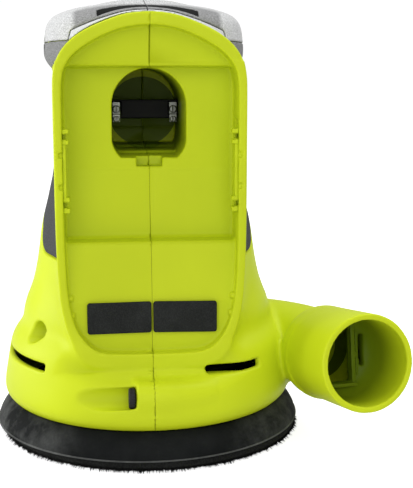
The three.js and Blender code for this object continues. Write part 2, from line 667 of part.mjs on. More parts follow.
function motorScrews() {
  const { circleR, headR, headLength, shankR, length } = MOTOR_SCREW;
  const slot = box([-headR + 1, -0.4, -JOIN], [headR - 1, 0.4, 0.8]);
  const screw = disc(headR, 0, headLength, ROUND_SMALL).subtract(slot)
    .add(disc(shankR, headLength - JOIN, length, 8));
  return [-1, 1].map((side, i) => {
    const mesh = part(`motor_screw_${i + 1}`, screw, FINISH.steel());
    mesh.position.set(0, side * circleR, BAFFLE.bottom - GAP - headLength);
    return mesh;
  });
}

// ---------------------------------------------------------------- rotor pieces
function rotorShaft() {
  return part('motor_shaft', disc(SHAFT.r, SHAFT.bottom, SHAFT.top, ROUND_SMALL), FINISH.steel());
}

function armatureCore() {
  const { r, bottom, top, slots, slotLength, slotWidth } = CORE;
  const cuts = [disc(SHAFT.r + GAP, 0, FAR, ROUND_SMALL)];
  for (let i = 0; i < slots; i += 1) {
    const slot = new THREE.BoxGeometry(slotLength, slotWidth, top - bottom + 2);
    slot.translate(r - slotLength / 2 + JOIN, 0, (top + bottom) / 2).rotateZ((i / slots) * Math.PI * 2);
    cuts.push(solid(slot));
  }
  return part('armature_core', disc(r, bottom, top, ROUND_MEDIUM).subtract(union(cuts)), FINISH.steel());
}

function armatureWindings() {
  const { inR, outR, length, round } = WINDING;
  return [['lower', CORE.bottom - GAP - length], ['upper', CORE.top + GAP]].map(([name, z]) => {
    const profile = [
      [inR, z], [outR - round, z], [outR, z + round], [outR, z + length - round],
      [outR - round, z + length], [inR, z + length], [inR, z],
    ];
    return part(`${name}_winding`, turned(profile, ROUND_MEDIUM), FINISH.copper());
  });
}

function commutator() {
  const { r, bottom, top } = COMMUTATOR;
  return part('commutator', ring(SHAFT.r + GAP, r, bottom, top, ROUND_MEDIUM), FINISH.copper());
}

function fan() {
  const { bladeBottom, disc: discZ, top, r, hubR, blades } = FAN;
  const hub = disc(hubR, bladeBottom, top);
  const plate = disc(r, discZ, top, ROUND_LARGE);
  const vanes = [];
  for (let i = 0; i < blades; i += 1) {
    const vane = new THREE.BoxGeometry(r - hubR - VANE.tipGap, VANE.thickness, top - bladeBottom);
    vane.rotateZ(-VANE.rake).translate((r + hubR) / 2, 0, (top + bladeBottom) / 2);
    vanes.push(solid(vane.rotateZ((i / blades) * Math.PI * 2)));
  }
  const limit = disc(r, 0, FAR, ROUND_LARGE);
  const bore = disc(ECCENTRIC.boss + GAP, 0, FAR);
  return part('fan', union([hub, plate, ...vanes]).intersect(limit).subtract(bore), FINISH.plastic());
}

function eccentric() {
  const { bottom, top, r, boss, bossTop } = ECCENTRIC;
  const cup = disc(r, bottom, top, ROUND_MEDIUM, ORBIT);
  const [from, to] = [Math.PI - LOBE.halfAngle, Math.PI + LOBE.halfAngle];
  const lobe = sector(boss - 2, LOBE.r, from, to, LOBE.bottom, LOBE.top);
  const pocket = disc(BEARING.outerR + GAP, 0, BEARING.top + GAP, ROUND_MEDIUM, ORBIT);
  const bore = disc(SHAFT.r + GAP, 0, FAR, ROUND_SMALL);
  const body = union([cup, disc(boss, top - 1, bossTop), lobe]).subtract(pocket).subtract(bore);
  return part('eccentric_weight', body, FINISH.zinc());
}

function bearingOuter() {
  const { bottom, top, outerR, raceInR } = BEARING;
  const race = part('bearing_outer_race', ring(raceInR, outerR, bottom, top), FINISH.steel());
  const cage = ring(BEARING.innerR + GAP, raceInR - GAP, bottom + JOIN, top - JOIN);
  const seal = part('bearing_seal', cage, FINISH.rubber());
  for (const piece of [race, seal]) piece.position.set(ORBIT, 0, 0);
  return [race, seal];
}

// ---------------------------------------------------------------- pad pieces, around the pad's own axis
function aroundPad(count, circleR, make, phase) {
  return Array.from({ length: count }, (_, i) => {
    const angle = phase + (i / count) * Math.PI * 2;
    return make(circleR * Math.cos(angle), circleR * Math.sin(angle), i);
  });
}

function screwBores(r) {
  return union(aroundPad(PAD_SCREW.count, PAD_SCREW.circleR,
    (x, y) => disc(r, -JOIN, FAR, ROUND_SMALL, x, y), PAD_SCREW.phase));
}

function padHoles(screwR) {
  const dust = aroundPad(DUST_HOLE.count, DUST_HOLE.circleR,
    (x, y) => disc(DUST_HOLE.r, -JOIN, FAR, ROUND_SMALL, x, y), DUST_HOLE.phase);
  return union([...dust, screwBores(screwR)]);
}

function hookAndFoam() {
  const { bottom, rim, top, shoulderR, topR } = FOAM;
  const profile = [[0, bottom], [PAD_R, bottom], [PAD_R, rim], [shoulderR, rim + GAP], [topR, top], [0, top]];
  const holes = padHoles(PAD_SCREW.accessR);
  return [
    part('hook_layer', disc(PAD_R, 0, HOOK_TOP, ROUND_LARGE).subtract(holes), FINISH.hook()),
    part('pad_foam', turned(profile).subtract(holes), FINISH.foam()),
  ];
}

function plateAndHub() {
  const { bottom, flange, top, flangeR, spindleR } = HUB;
  const clearance = PAD_SCREW.shankR + GAP;
  const plate = disc(PLATE.r, PLATE.bottom, PLATE.top, ROUND_LARGE).subtract(padHoles(clearance));
  const hub = disc(flangeR, bottom, flange).add(disc(spindleR, flange - JOIN, top));
  const race = ring(spindleR + GAP, BEARING.innerR, BEARING.bottom, BEARING.top);
  return [
    part('backing_plate', plate, FINISH.plastic()),
    part('pad_hub', hub.subtract(screwBores(clearance)), FINISH.zinc()),
    part('bearing_inner_race', race, FINISH.steel()),
  ];
}

function padScrews() {
  const { count, circleR, headR, headLength, shankR, length, driveHalf, phase } = PAD_SCREW;
  const drive = box([-driveHalf, -driveHalf, -JOIN], [driveHalf, driveHalf, headLength / 2]);
  const screw = disc(headR, 0, headLength, ROUND_SMALL).subtract(drive)
    .add(disc(shankR, headLength - JOIN, length, 8));
  return aroundPad(count, circleR, (x, y, i) => {
    const mesh = part(`pad_screw_${i + 1}`, screw, FINISH.steel());
    mesh.position.set(x, y, PLATE.bottom - GAP - headLength);
    return mesh;
  }, phase);
}

// ---------------------------------------------------------------- switch rocker
function switchRocker() {
  const body = alongX(ROCKER_PROFILE, -ROCKER.halfWidth, ROCKER.halfWidth);
  const rocker = part('switch_rocker', body, FINISH.rubber());
  rocker.position.set(0, ROCKER.pivotY, SWITCH.z);
  rocker.rotation.x = ROCKER.tilt;
  return rocker;
}

// ---------------------------------------------------------------- assembly
const sander = new THREE.Group();
sander.add(...housingPieces(), ...gripPieces(), brakeSkirt(), ...caseScrews(), ...foamStrips());
sander.add(...terminals(), ...switchPieces(), ...powerLeads());
sander.add(fanBaffle(), motorCan(), motorEndCap(), ...motorBrushes(), ...motorMagnets());
sander.add(...motorBushes(), ...motorScrews());

const rotor = new THREE.Group();
rotor.add(rotorShaft(), armatureCore(), ...armatureWindings(), commutator(), fan(), eccentric());
rotor.add(...bearingOuter());

const pad = new THREE.Group();
pad.position.x = ORBIT;
pad.add(...hookAndFoam(), ...plateAndHub(), ...padScrews());

sander.add(rotor, pad, switchRocker());

export default sander;
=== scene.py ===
"""Looks of a cordless palm sander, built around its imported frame.

The moulded pieces are level surfaces of signed distance fields. Each field is worked out with numpy
over a whole grid at once, in millimetres, and a surface net turns it into a mesh in metres.
"""
import json
import logging
import math
from dataclasses import dataclass, field
from enum import Enum
from typing import Callable, Sequence

import bpy
import numpy as np
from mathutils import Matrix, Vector


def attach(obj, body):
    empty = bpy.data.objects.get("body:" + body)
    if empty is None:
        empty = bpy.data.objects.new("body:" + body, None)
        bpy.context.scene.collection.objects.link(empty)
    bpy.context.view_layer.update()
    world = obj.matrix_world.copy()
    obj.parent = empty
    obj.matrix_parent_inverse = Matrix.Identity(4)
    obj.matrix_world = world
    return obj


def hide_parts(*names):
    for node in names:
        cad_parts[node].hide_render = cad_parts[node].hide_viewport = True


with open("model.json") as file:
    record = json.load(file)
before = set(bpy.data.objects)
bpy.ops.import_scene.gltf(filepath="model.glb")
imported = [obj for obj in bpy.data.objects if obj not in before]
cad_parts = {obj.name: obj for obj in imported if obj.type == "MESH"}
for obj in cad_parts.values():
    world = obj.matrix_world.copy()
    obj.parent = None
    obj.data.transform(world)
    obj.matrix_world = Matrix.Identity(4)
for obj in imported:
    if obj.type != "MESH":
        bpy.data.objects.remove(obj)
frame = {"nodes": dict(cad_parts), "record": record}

LOG = logging.getLogger("sander")
MM = 0.001
PORT_MOUTH = (81.3, -60.8, 39.7)
PORT_AZIMUTH = 0.2147
PORT_RISE = 0.1326
PORT_AXIS = (math.sin(PORT_AZIMUTH) * math.cos(PORT_RISE), -math.cos(PORT_AZIMUTH) * math.cos(PORT_RISE),
             math.sin(PORT_RISE))
Array = np.ndarray
Field = Callable[[Array, Array, Array], Array]
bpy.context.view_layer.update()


# --------------------------------------------------------------------------- distance fields
def union(a: Array, b: Array, blend: float = 0.0) -> Array:
    """Smaller of two distances, with a rounded inner corner of width blend."""
    if blend <= 0:
        return np.minimum(a, b)
    h = np.maximum(blend - np.abs(a - b), 0) / blend
    return np.minimum(a, b) - h * h * blend / 4


def common(a: Array, b: Array, blend: float = 0.0) -> Array:
    """Larger of two distances, with a rounded outer edge of width blend."""
    return -union(-a, -b, blend)


def cut(a: Array, tool: Array, blend: float = 0.0) -> Array:
    """The form a without the tool, with a rounded outer edge of width blend."""
    return common(a, -tool, blend)


def block(x: Array, y: Array, z: Array, low: Sequence[float], high: Sequence[float],
          rounding: float = 0.0) -> Array:
    """Distance to a box between two corners, whose edges are rounded.

    The formula is the length of the positive part of (|p - middle| - half size) plus its largest part
    where all three are negative.
    """
    parts = []
    for value, a, b in zip((x, y, z), low, high):
        parts.append(np.abs(value - (a + b) / 2) - (b - a) / 2 + rounding)
    outside = np.sqrt(sum(np.maximum(p, 0) ** 2 for p in parts))
    inside = np.minimum(np.maximum(np.maximum(parts[0], parts[1]), parts[2]), 0)
    return outside + inside - rounding


def smooth_line(points: Sequence[Sequence[float]], closed: bool, per_span: int = 8) -> Array:
    """Points along a Catmull-Rom curve through the given points.

    Args:
        points: the points that the curve passes through, as rows.
        closed: whether the last point joins the first.
        per_span: how many points each span gets.

    Returns:
        An array with one row for each point.
    """
    p = np.asarray(points, float)
    if closed:
        p = np.vstack([p[-1], p, p[0], p[1]])
    else:
        p = np.vstack([2 * p[0] - p[1], p, 2 * p[-1] - p[-2]])
    t = np.linspace(0, 1, per_span, endpoint=False)[None, :, None]
    a, b, c, d = (p[i:len(p) - 3 + i][:, None, :] for i in range(4))
    curve = 0.5 * (2 * b + (c - a) * t + (2 * a - 5 * b + 4 * c - d) * t ** 2
                   + (3 * b - a - 3 * c + d) * t ** 3)
    curve = curve.reshape(-1, p.shape[1])
    return curve if closed else np.vstack([curve, p[-2]])


class Outline:
    """Signed distance to a closed polygon in a plane, read from a table by bilinear interpolation."""

    def __init__(self, points: Array, cell: float = 0.35, margin: float = 14.0) -> None:
        """Works the table out once, as a whole array over grid points and polygon sides.

        Args:
            points: the polygon's corners, one row each.
            cell: the table's step.
            margin: how far the table reaches past the polygon.
        """
        a = np.asarray(points, np.float32)
        b = np.roll(a, -1, axis=0)
        self.low = a.min(0) - margin
        self.cell = cell
        size = np.ceil((a.max(0) + margin - self.low) / cell).astype(int) + 1
        u = self.low[0] + cell * np.arange(size[0], dtype=np.float32)[:, None, None]
        v = self.low[1] + cell * np.arange(size[1], dtype=np.float32)[None, :, None]
        side = b - a
        share = ((u - a[:, 0]) * side[:, 0] + (v - a[:, 1]) * side[:, 1]) / (side ** 2).sum(1)
        share = np.clip(share, 0, 1)
        gap = (u - a[:, 0] - share * side[:, 0]) ** 2 + (v - a[:, 1] - share * side[:, 1]) ** 2
        rises = (a[:, 1] <= v) != (b[:, 1] <= v)
        slope = np.where(np.abs(side[:, 1]) < 1e-9, 1e-9, side[:, 1])
        left = u < a[:, 0] + (v - a[:, 1]) / slope * side[:, 0]
        inside = (rises & left).sum(2) % 2 == 1
        self.table = np.where(inside, -1, 1) * np.sqrt(gap.min(2))

    def __call__(self, u: Array, v: Array) -> Array:
        """Distance at points (u, v), held constant beyond the table."""
        gu = np.clip((u - self.low[0]) / self.cell, 0, self.table.shape[0] - 1.001)
        gv = np.clip((v - self.low[1]) / self.cell, 0, self.table.shape[1] - 1.001)
        iu, iv = gu.astype(int), gv.astype(int)
        fu, fv = gu - iu, gv - iv
        t = self.table
        low = t[iu, iv] * (1 - fu) + t[iu + 1, iv] * fu
        high = t[iu, iv + 1] * (1 - fu) + t[iu + 1, iv + 1] * fu
        return low * (1 - fv) + high * fv


class Profile:
    """Radius of a turned form as a smooth function of height."""

    def __init__(self, pairs: Sequence[Sequence[float]], spread: float = 1.0) -> None:
        """Joins (height, radius) pairs by straight lines and smooths them with a bell of that spread."""
        z, r = np.asarray(pairs, float).T
        self.z = np.arange(z[0] - 12, z[-1] + 12, 0.2)
        raw = np.interp(self.z, z, r)
        reach = np.arange(-15, 16) * 0.2
        bell = np.exp(-0.5 * (reach / spread) ** 2)
        self.r = np.convolve(np.pad(raw, 15, mode="edge"), bell / bell.sum(), "valid")
        self.slope = np.gradient(self.r, 0.2)

    def __call__(self, rho: Array, z: Array) -> Array:
        """Distance from the turned surface: radial gap over the length of (1, slope)."""
        return (rho - np.interp(z, self.z, self.r)) / np.sqrt(1 + np.interp(z, self.z, self.slope) ** 2)


# --------------------------------------------------------------------------- meshes
def surface_net(form: Field, low: Sequence[float], high: Sequence[float],
                cell: float) -> tuple[Array, Array]:
    """Mesh of the surface where a field is zero.

    Every grid cell that the surface crosses gets one vertex, at the mean of the points where the
    surface cuts its twelve edges, and every grid edge that it cuts gets one four-sided face. Each
    vertex then steps along the field's gradient onto the surface.

    Args:
        form: signed distance, negative inside, of coordinates in millimetres.
        low: lowest corner of the grid.
        high: highest corner of the grid.
        cell: grid step.

    Returns:
        Vertices in millimetres and the faces' four indices.
    """
    axes = [np.arange(a, b + cell, cell, dtype=np.float32) for a, b in zip(low, high)]
    x, y, z = np.meshgrid(*axes, indexing="ij", sparse=True)
    f = np.array(np.broadcast_to(form(x, y, z), [len(a) for a in axes]), np.float32)
    for axis in range(3):
        ends = [slice(None)] * 3
        for end in (0, -1):
            ends[axis] = end
            f[tuple(ends)] = np.maximum(f[tuple(ends)], 0.01)
    inside = f < 0
    n = [s - 1 for s in f.shape]
    corner = [(i, j, k) for i in (0, 1) for j in (0, 1) for k in (0, 1)]
    total = np.zeros(n, np.uint8)
    for i, j, k in corner:
        total += inside[i:i + n[0], j:j + n[1], k:k + n[2]]
    cells = np.argwhere((total > 0) & (total < 8))
    values = np.stack([f[cells[:, 0] + i, cells[:, 1] + j, cells[:, 2] + k] for i, j, k in corner], 1)
    offsets = np.array(corner, np.float32)
    place = np.zeros((len(cells), 3), np.float32)
    count = np.zeros(len(cells), np.float32)
    for p in range(8):
        for q in range(p + 1, 8):
            if np.abs(offsets[p] - offsets[q]).sum() != 1:
                continue
            crossed = (values[:, p] < 0) != (values[:, q] < 0)
            share = np.where(crossed, values[:, p] / np.where(crossed, values[:, p] - values[:, q], 1), 0)
            place += crossed[:, None] * (offsets[p] + share[:, None] * (offsets[q] - offsets[p]))
            count += crossed
    place = (place / count[:, None] + cells) * cell + np.array([a[0] for a in axes])
    number = np.full(n, -1, np.int32)
    number[tuple(cells.T)] = np.arange(len(cells))
    faces = []
    for axis in range(3):
        u, v = (axis + 1) % 3, (axis + 2) % 3
        near = [slice(1, -1)] * 3
        near[axis] = slice(0, -1)
        far = list(near)
        far[axis] = slice(1, None)
        cross = inside[tuple(near)] != inside[tuple(far)]
        at = np.argwhere(cross)
        at[:, u] += 1
        at[:, v] += 1
        low_side = inside[tuple(at.T)]
        ring = []
        for du, dv in ((-1, -1), (0, -1), (0, 0), (-1, 0)):
            c = at.copy()
            c[:, u] += du
            c[:, v] += dv
            ring.append(number[tuple(c.T)])
        quad = np.stack(ring, 1)
        quad[~low_side] = quad[~low_side][:, ::-1]
        faces.append(quad)
    return settle(form, place, cell), np.vstack(faces)


def settle(form: Field, points: Array, cell: float) -> Array:
    """Moves points onto the zero surface: p - f g / |g|^2, with g the gradient by differences."""
    step = 0.25 * cell
    moved = points.astype(np.float64)
    for _ in range(2):
        x, y, z = moved.T
        value = form(x, y, z)
        slope = np.stack([
            form(x + step, y, z) - form(x - step, y, z),
            form(x, y + step, z) - form(x, y - step, z),
            form(x, y, z + step) - form(x, y, z - step),
        ], 1) / (2 * step)
        size = (slope ** 2).sum(1)
        move = -(value / np.maximum(size, 0.3))[:, None] * slope
        length = np.linalg.norm(move, axis=1, keepdims=True)
        moved += move * np.minimum(1, 0.35 * cell / np.maximum(length, 1e-9))
    return moved


def mesh_object(name: str, points: Array, faces: Array, smooth_angle: float = 50.0) -> bpy.types.Object:
    """Blender object from points in millimetres and faces of one size, shaded smooth up to an angle."""
    mesh = bpy.data.meshes.new(name)
    points = np.asarray(points, np.float32) * MM
    faces = np.asarray(faces, np.int32)
    sides = faces.shape[1]
    mesh.vertices.add(len(points))
    mesh.vertices.foreach_set("co", points.ravel())
    mesh.loops.add(faces.size)
    mesh.loops.foreach_set("vertex_index", faces.ravel())
    mesh.polygons.add(len(faces))
    mesh.polygons.foreach_set("loop_start", np.arange(0, faces.size, sides, dtype=np.int32))
    mesh.update(calc_edges=True)
    mesh.validate()
    mesh.shade_smooth()
    if smooth_angle < 180:
        mesh.set_sharp_from_angle(angle=math.radians(smooth_angle))
    obj = bpy.data.objects.new(name, mesh)
    bpy.context.scene.collection.objects.link(obj)
    return obj


def thin_out(obj: bpy.types.Object, most: int) -> None:
    """Collapses edges until the object has at most that many triangles, where it has more."""
    triangles = sum(len(p.vertices) - 2 for p in obj.data.polygons)
    if triangles <= most:
        return
    modifier = obj.modifiers.new("thin", "DECIMATE")
    modifier.ratio = most / triangles
    graph = bpy.context.evaluated_depsgraph_get()
    mesh = bpy.data.meshes.new_from_object(obj.evaluated_get(graph))
    obj.modifiers.clear()
    old = obj.data
    obj.data = mesh
    bpy.data.meshes.remove(old)
    mesh.name = obj.name


def set_on_edge(points: Array, skin: Field, seam: float, cell: float) -> None:
    """Sets points near the edge between a skin and the plane x = seam onto that edge.

    Their x becomes the plane's, and three Newton steps in y and z bring the skin's distance to zero:
    p - f g / |g|^2, with g the gradient within the plane.
    """
    near = np.flatnonzero(np.abs(points[:, 0] - seam) < cell / 2)
    points[near, 0] = seam
    x, y, z = points[near].T
    step = 0.2 * cell
    for turn in range(4):
        value = skin(x, y, z)
        gy = (skin(x, y + step, z) - skin(x, y - step, z)) / (2 * step)
        gz = (skin(x, y, z + step) - skin(x, y, z - step)) / (2 * step)
        size = np.maximum(gy * gy + gz * gz, 0.2)
        if turn == 0:
            chosen = np.abs(value) / np.sqrt(size) < 0.55 * cell
        share = np.where(chosen, np.clip(value / size, -0.5 * cell, 0.5 * cell), 0)
        y, z = y - share * gy, z - share * gz
    points[near, 1], points[near, 2] = y, z


def weigh_normals(obj: bpy.types.Object) -> None:
    """Shades an object by area-weighted normals.

    Each vertex gets the sum of the cross products of its triangles' sides, made unit length, so that a
    large flat face isn't bent by the small faces of a rounded edge beside it.
    """
    mesh = obj.data
    mesh.calc_loop_triangles()
    corners = np.empty(len(mesh.loop_triangles) * 3, np.int32)
    mesh.loop_triangles.foreach_get("vertices", corners)
    points = np.empty(len(mesh.vertices) * 3, np.float32)
    mesh.vertices.foreach_get("co", points)
    a, b, c = points.reshape(-1, 3)[corners.reshape(-1, 3)].transpose(1, 0, 2).astype(float)
    face = np.cross(b - a, c - a)
    weights = np.repeat(face, 3, axis=0).T
    total = np.stack([np.bincount(corners, weight, len(mesh.vertices)) for weight in weights], 1)
    total /= np.maximum(np.linalg.norm(total, axis=1, keepdims=True), 1e-20)
    mesh.normals_split_custom_set_from_vertices(total)


def solid(name: str, form: Field, low: Sequence[float], high: Sequence[float], cell: float,
          most: int = 190_000, smooth_angle: float = 180.0, seam: float | None = None,
          skin: Field | None = None) -> bpy.types.Object:
    """Object made from a distance field, thinned to at most that many triangles.

    Args:
        name: the object's name.
        form: the signed distance field.
        low: lowest corner of the grid.
        high: highest corner of the grid.
        cell: grid step, made larger for a quick build.
        most: most triangles that the object may have.
        smooth_angle: edges sharper than this many degrees are shaded sharp.
        seam: where given, the form ends on the plane x = seam, which then lies halfway through a cell.
        skin: the field without that plane; its edge with the plane is kept sharp.
    """
    if seam is not None:
        low = (seam - (math.ceil((seam - low[0]) / cell) + 0.5) * cell, *low[1:])
    points, faces = surface_net(form, low, high, cell)
    if seam is not None and skin is not None:
        set_on_edge(points, skin, seam, cell)
    obj = mesh_object(name, points, faces, 180.0)
    thin_out(obj, most)
    if smooth_angle < 180:
        obj.data.set_sharp_from_angle(angle=math.radians(smooth_angle))
    else:
        weigh_normals(obj)
    return obj


def turned(name: str, profile: Array, sides: int, centre: tuple[float, float] = (0, 0),
           ripple: Callable[[Array, Array], Array] | None = None) -> bpy.types.Object:
    """Solid of revolution of a closed (radius, height) profile about an upright axis.

    The surface is (r cos t, r sin t, z) over the profile's points and the angle t. Where ripple is
    given, it adds ripple(t, z) to the radius.
    """
    t = np.linspace(0, 2 * np.pi, sides, endpoint=False)[:, None]
    r, z = np.asarray(profile, float).T
    radius = np.broadcast_to(r, (sides, len(r))).copy()
    if ripple is not None:
        radius += ripple(t, z[None, :])
    points = np.stack([
        centre[0] + radius * np.cos(t), centre[1] + radius * np.sin(t), np.broadcast_to(z, radius.shape),
    ], 2).reshape(-1, 3)
    m = len(r)
    i, j = np.meshgrid(np.arange(sides), np.arange(m), indexing="ij")
    k, l = (i + 1) % sides, (j + 1) % m
    faces = np.stack([i * m + j, k * m + j, k * m + l, i * m + l], 2).reshape(-1, 4)
    area = np.sum(r * np.roll(z, -1) - np.roll(r, -1) * z)
    if area < 0:
        faces = faces[:, ::-1]
    return mesh_object(name, points, faces, 40.0)


# --------------------------------------------------------------------------- shader maths
class Wire:
    """An output socket of a tree, on which +, -, *, ** and > add Math nodes."""

    def __init__(self, nodes: "Graph", socket: bpy.types.NodeSocket) -> None:
        """Keeps the socket and the node builder that it belongs to."""
        self.nodes = nodes
        self.socket = socket

    def _math(self, operation: str, *values: object) -> "Wire":
        """Result of a Math node of that operation."""
        return self.nodes.add("ShaderNodeMath", {"operation": operation}, list(values))

    def __add__(self, other: object) -> "Wire":
        """Sum."""
        return self._math("ADD", self, other)

    def __mul__(self, other: object) -> "Wire":
        """Product."""
        return self._math("MULTIPLY", self, other)

    def __sub__(self, other: object) -> "Wire":
        """Difference."""
        return self._math("SUBTRACT", self, other)

    def __rsub__(self, other: object) -> "Wire":
        """Difference from a number."""
        return self._math("SUBTRACT", other, self)

    def __pow__(self, other: object) -> "Wire":
        """Power."""
        return self._math("POWER", self, other)

    def __gt__(self, other: object) -> "Wire":
        """1 where greater, else 0."""
        return self._math("GREATER_THAN", self, other)

    __radd__ = __add__
    __rmul__ = __mul__

    def sine(self) -> "Wire":
        """Sine."""
        return self._math("SINE", self)

    def clamped(self) -> "Wire":
        """Value held between 0 and 1."""
        return self.nodes.add("ShaderNodeClamp", {}, [self])

    def ramp(self, low: float, high: float) -> "Wire":
        """0 below low, 1 above high, straight between."""
        return self.nodes.add("ShaderNodeMapRange", {}, [self, low, high, 0.0, 1.0])


def rgba(value: object) -> object:
    """A colour of three numbers with an alpha of 1 added; anything else as it is."""
    return (*value, 1.0) if isinstance(value, tuple) and len(value) == 3 else value


class Graph:
    """Adds and links the nodes of one tree."""

    def __init__(self, tree: bpy.types.NodeTree) -> None:
        """Keeps the tree."""
        self.tree = tree

    def add(self, kind: str, settings: dict[str, object], inputs: object, output: object = 0) -> Wire:
        """Adds a node and returns one of its outputs.

        Args:
            kind: the node's type name.
            settings: the node's properties by name.
            inputs: values or wires, as a list in socket order or a dict by socket name or number.
            output: name or number of the output to return.

        Returns:
            The chosen output.
        """
        node = self.tree.nodes.new(kind)
        for key, value in settings.items():
            setattr(node, key, value)
        self.feed(node, inputs)
        return Wire(self, node.outputs[output])

    def feed(self, node: bpy.types.Node, inputs: object) -> None:
        """Sets or links a node's inputs, given as a list or a dict of values and wires."""
        pairs = inputs.items() if isinstance(inputs, dict) else enumerate(inputs)
        for key, value in pairs:
            if isinstance(value, Wire):
                self.tree.links.new(value.socket, node.inputs[key])
            else:
                node.inputs[key].default_value = rgba(value) if node.inputs[key].type == "RGBA" else value


class Nodes(Graph):
    """The node tree of one material with a Principled shader."""

    def __init__(self, name: str) -> None:
        """Starts a material of that name."""
        self.material = bpy.data.materials.new(name)
        self.material.use_nodes = True
        super().__init__(self.material.node_tree)
        self.shader = self.tree.nodes["Principled BSDF"]
        self.place = self.add("ShaderNodeTexCoord", {}, [], "Object")

    def noise(self, scale: float, detail: float = 3.0, roughness: float = 0.5,
              stretch: Sequence[float] = (1, 1, 1)) -> Wire:
        """Noise in object space.

        Args:
            scale: waves per metre.
            detail: number of finer layers.
            roughness: share that each finer layer keeps of the one before.
            stretch: factors on the coordinates, which set a direction.

        Returns:
            The noise's value, from 0 to 1.
        """
        at = self.add("ShaderNodeMapping", {}, {"Vector": self.place, "Scale": stretch})
        return self.add("ShaderNodeTexNoise", {}, {
            "Vector": at, "Scale": scale, "Detail": detail, "Roughness": roughness})

    def cells(self, scale: float) -> Wire:
        """Distance to the nearest of randomly placed points."""
        return self.add("ShaderNodeTexVoronoi", {}, {"Vector": self.place, "Scale": scale})

    def axis(self, name: str) -> Wire:
        """Object coordinate along X, Y or Z, in metres."""
        return self.add("ShaderNodeSeparateXYZ", {}, [self.place], name)

    def depth(self, hollow: "ShadedHollow") -> Wire:
        """How deep a place lies in a round hole: 0 at its mouth and all round it, 1 at its end.

        The depth is the distance below the mouth along the axis, and the radius is what is left of
        the distance from the mouth's centre.
        """
        offset = self.add("ShaderNodeVectorMath", {"operation": "SUBTRACT"}, [self.place, hollow.mouth])
        along = self.add("ShaderNodeVectorMath", {"operation": "DOT_PRODUCT"}, [offset, hollow.axis], 1)
        length = self.add("ShaderNodeVectorMath", {"operation": "LENGTH"}, [offset], 1)
        radial = (length * length - along * along).clamped() ** 0.5
        inside = (hollow.radius - radial > 0) * (along + hollow.bottom > 0)
        return (0 - along).ramp(hollow.start, hollow.end) * inside

    def mix(self, share: object, a: object, b: object) -> Wire:
        """Colour between a and b."""
        return self.add("ShaderNodeMix", {"data_type": "RGBA"}, {0: share, 6: a, 7: b}, 2)

    def set(self, **values: object) -> None:
        """Sets or links the shader's sockets; an underscore in a name stands for a space."""
        self.feed(self.shader, {key.replace("_", " "): value for key, value in values.items()})

    def bump(self, *layers: tuple[Wire, float]) -> None:
        """Feeds the shader's Normal with a chain of (height, distance in metres) layers."""
        normal = None
        for height, distance in layers:
            inputs = {"Height": height, "Distance": distance, "Strength": 1.0}
            if normal is not None:
                inputs["Normal"] = normal
            normal = self.add("ShaderNodeBump", {}, inputs)
        self.set(Normal=normal)


class Grain(Enum):
    """How a soft grip's surface is textured."""

    SPECKLED = "speckled"
    SATIN = "satin"


@dataclass(frozen=True)
class ShadedHollow:
    """A round hole whose colour is painted darker towards its bottom, as painted shade, in metres."""

    mouth: tuple[float, float, float]
    axis: tuple[float, float, float]
    radius: float
    start: float
    end: float
    bottom: float
    # How far the painted shade darkens the hole's bottom, from 0 to 1.
    share: float


@dataclass(frozen=True)
class Moulding:
    """Moulded hard plastic: faint colour drift, fine spark-eroded grain and flow ripples, with painted shade
    deep in round holes.
    """

    name: str
    colour: tuple[float, float, float]
    roughness: float = 0.42
    grain: float = 0.00002
    drift: float = 0.06
    sheen: float = 0.14
    shade_hollows: tuple["ShadedHollow", ...] = ()

    def material(self) -> bpy.types.Material:
        """Builds the material."""
        n = Nodes(self.name)
        drift = n.noise(18, 2, 0.5)
        streak = n.noise(55, 3, 0.55, (1, 1, 0.18))
        dark = tuple(c * (1 - self.drift) for c in self.colour)
        light = tuple(min(1.0, c * (1 + self.drift)) for c in self.colour)
        base = n.mix(drift.ramp(0.3, 0.7), dark, light)
        flow = tuple(min(1.0, c * 1.15 + 0.004) for c in self.colour)
        base = n.mix(streak.ramp(0.55, 0.75) * 0.12, base, flow)
        # Painted shade: a darkened copy of the colour, laid over the deep end of each round hole.
        deep = self.colour[0] * 0.12, self.colour[1] * 0.19, self.colour[2] * 0.4
        for hollow in self.shade_hollows:
            base = n.mix(n.depth(hollow) * hollow.share, base, deep)
        scuff = n.noise(900, 4, 0.7, (0.25, 1, 0.3)).ramp(0.66, 0.78)
        rough = n.noise(260, 4, 0.6) * 0.10 + (self.roughness - 0.05) + scuff * 0.08
        n.set(Base_Color=base, Roughness=rough.clamped(), IOR=1.5, Specular_IOR_Level=self.sheen)
        n.bump((n.noise(2600, 3, 0.6), self.grain), (drift, 0.0001), (streak, 0.00003))
        return n.material


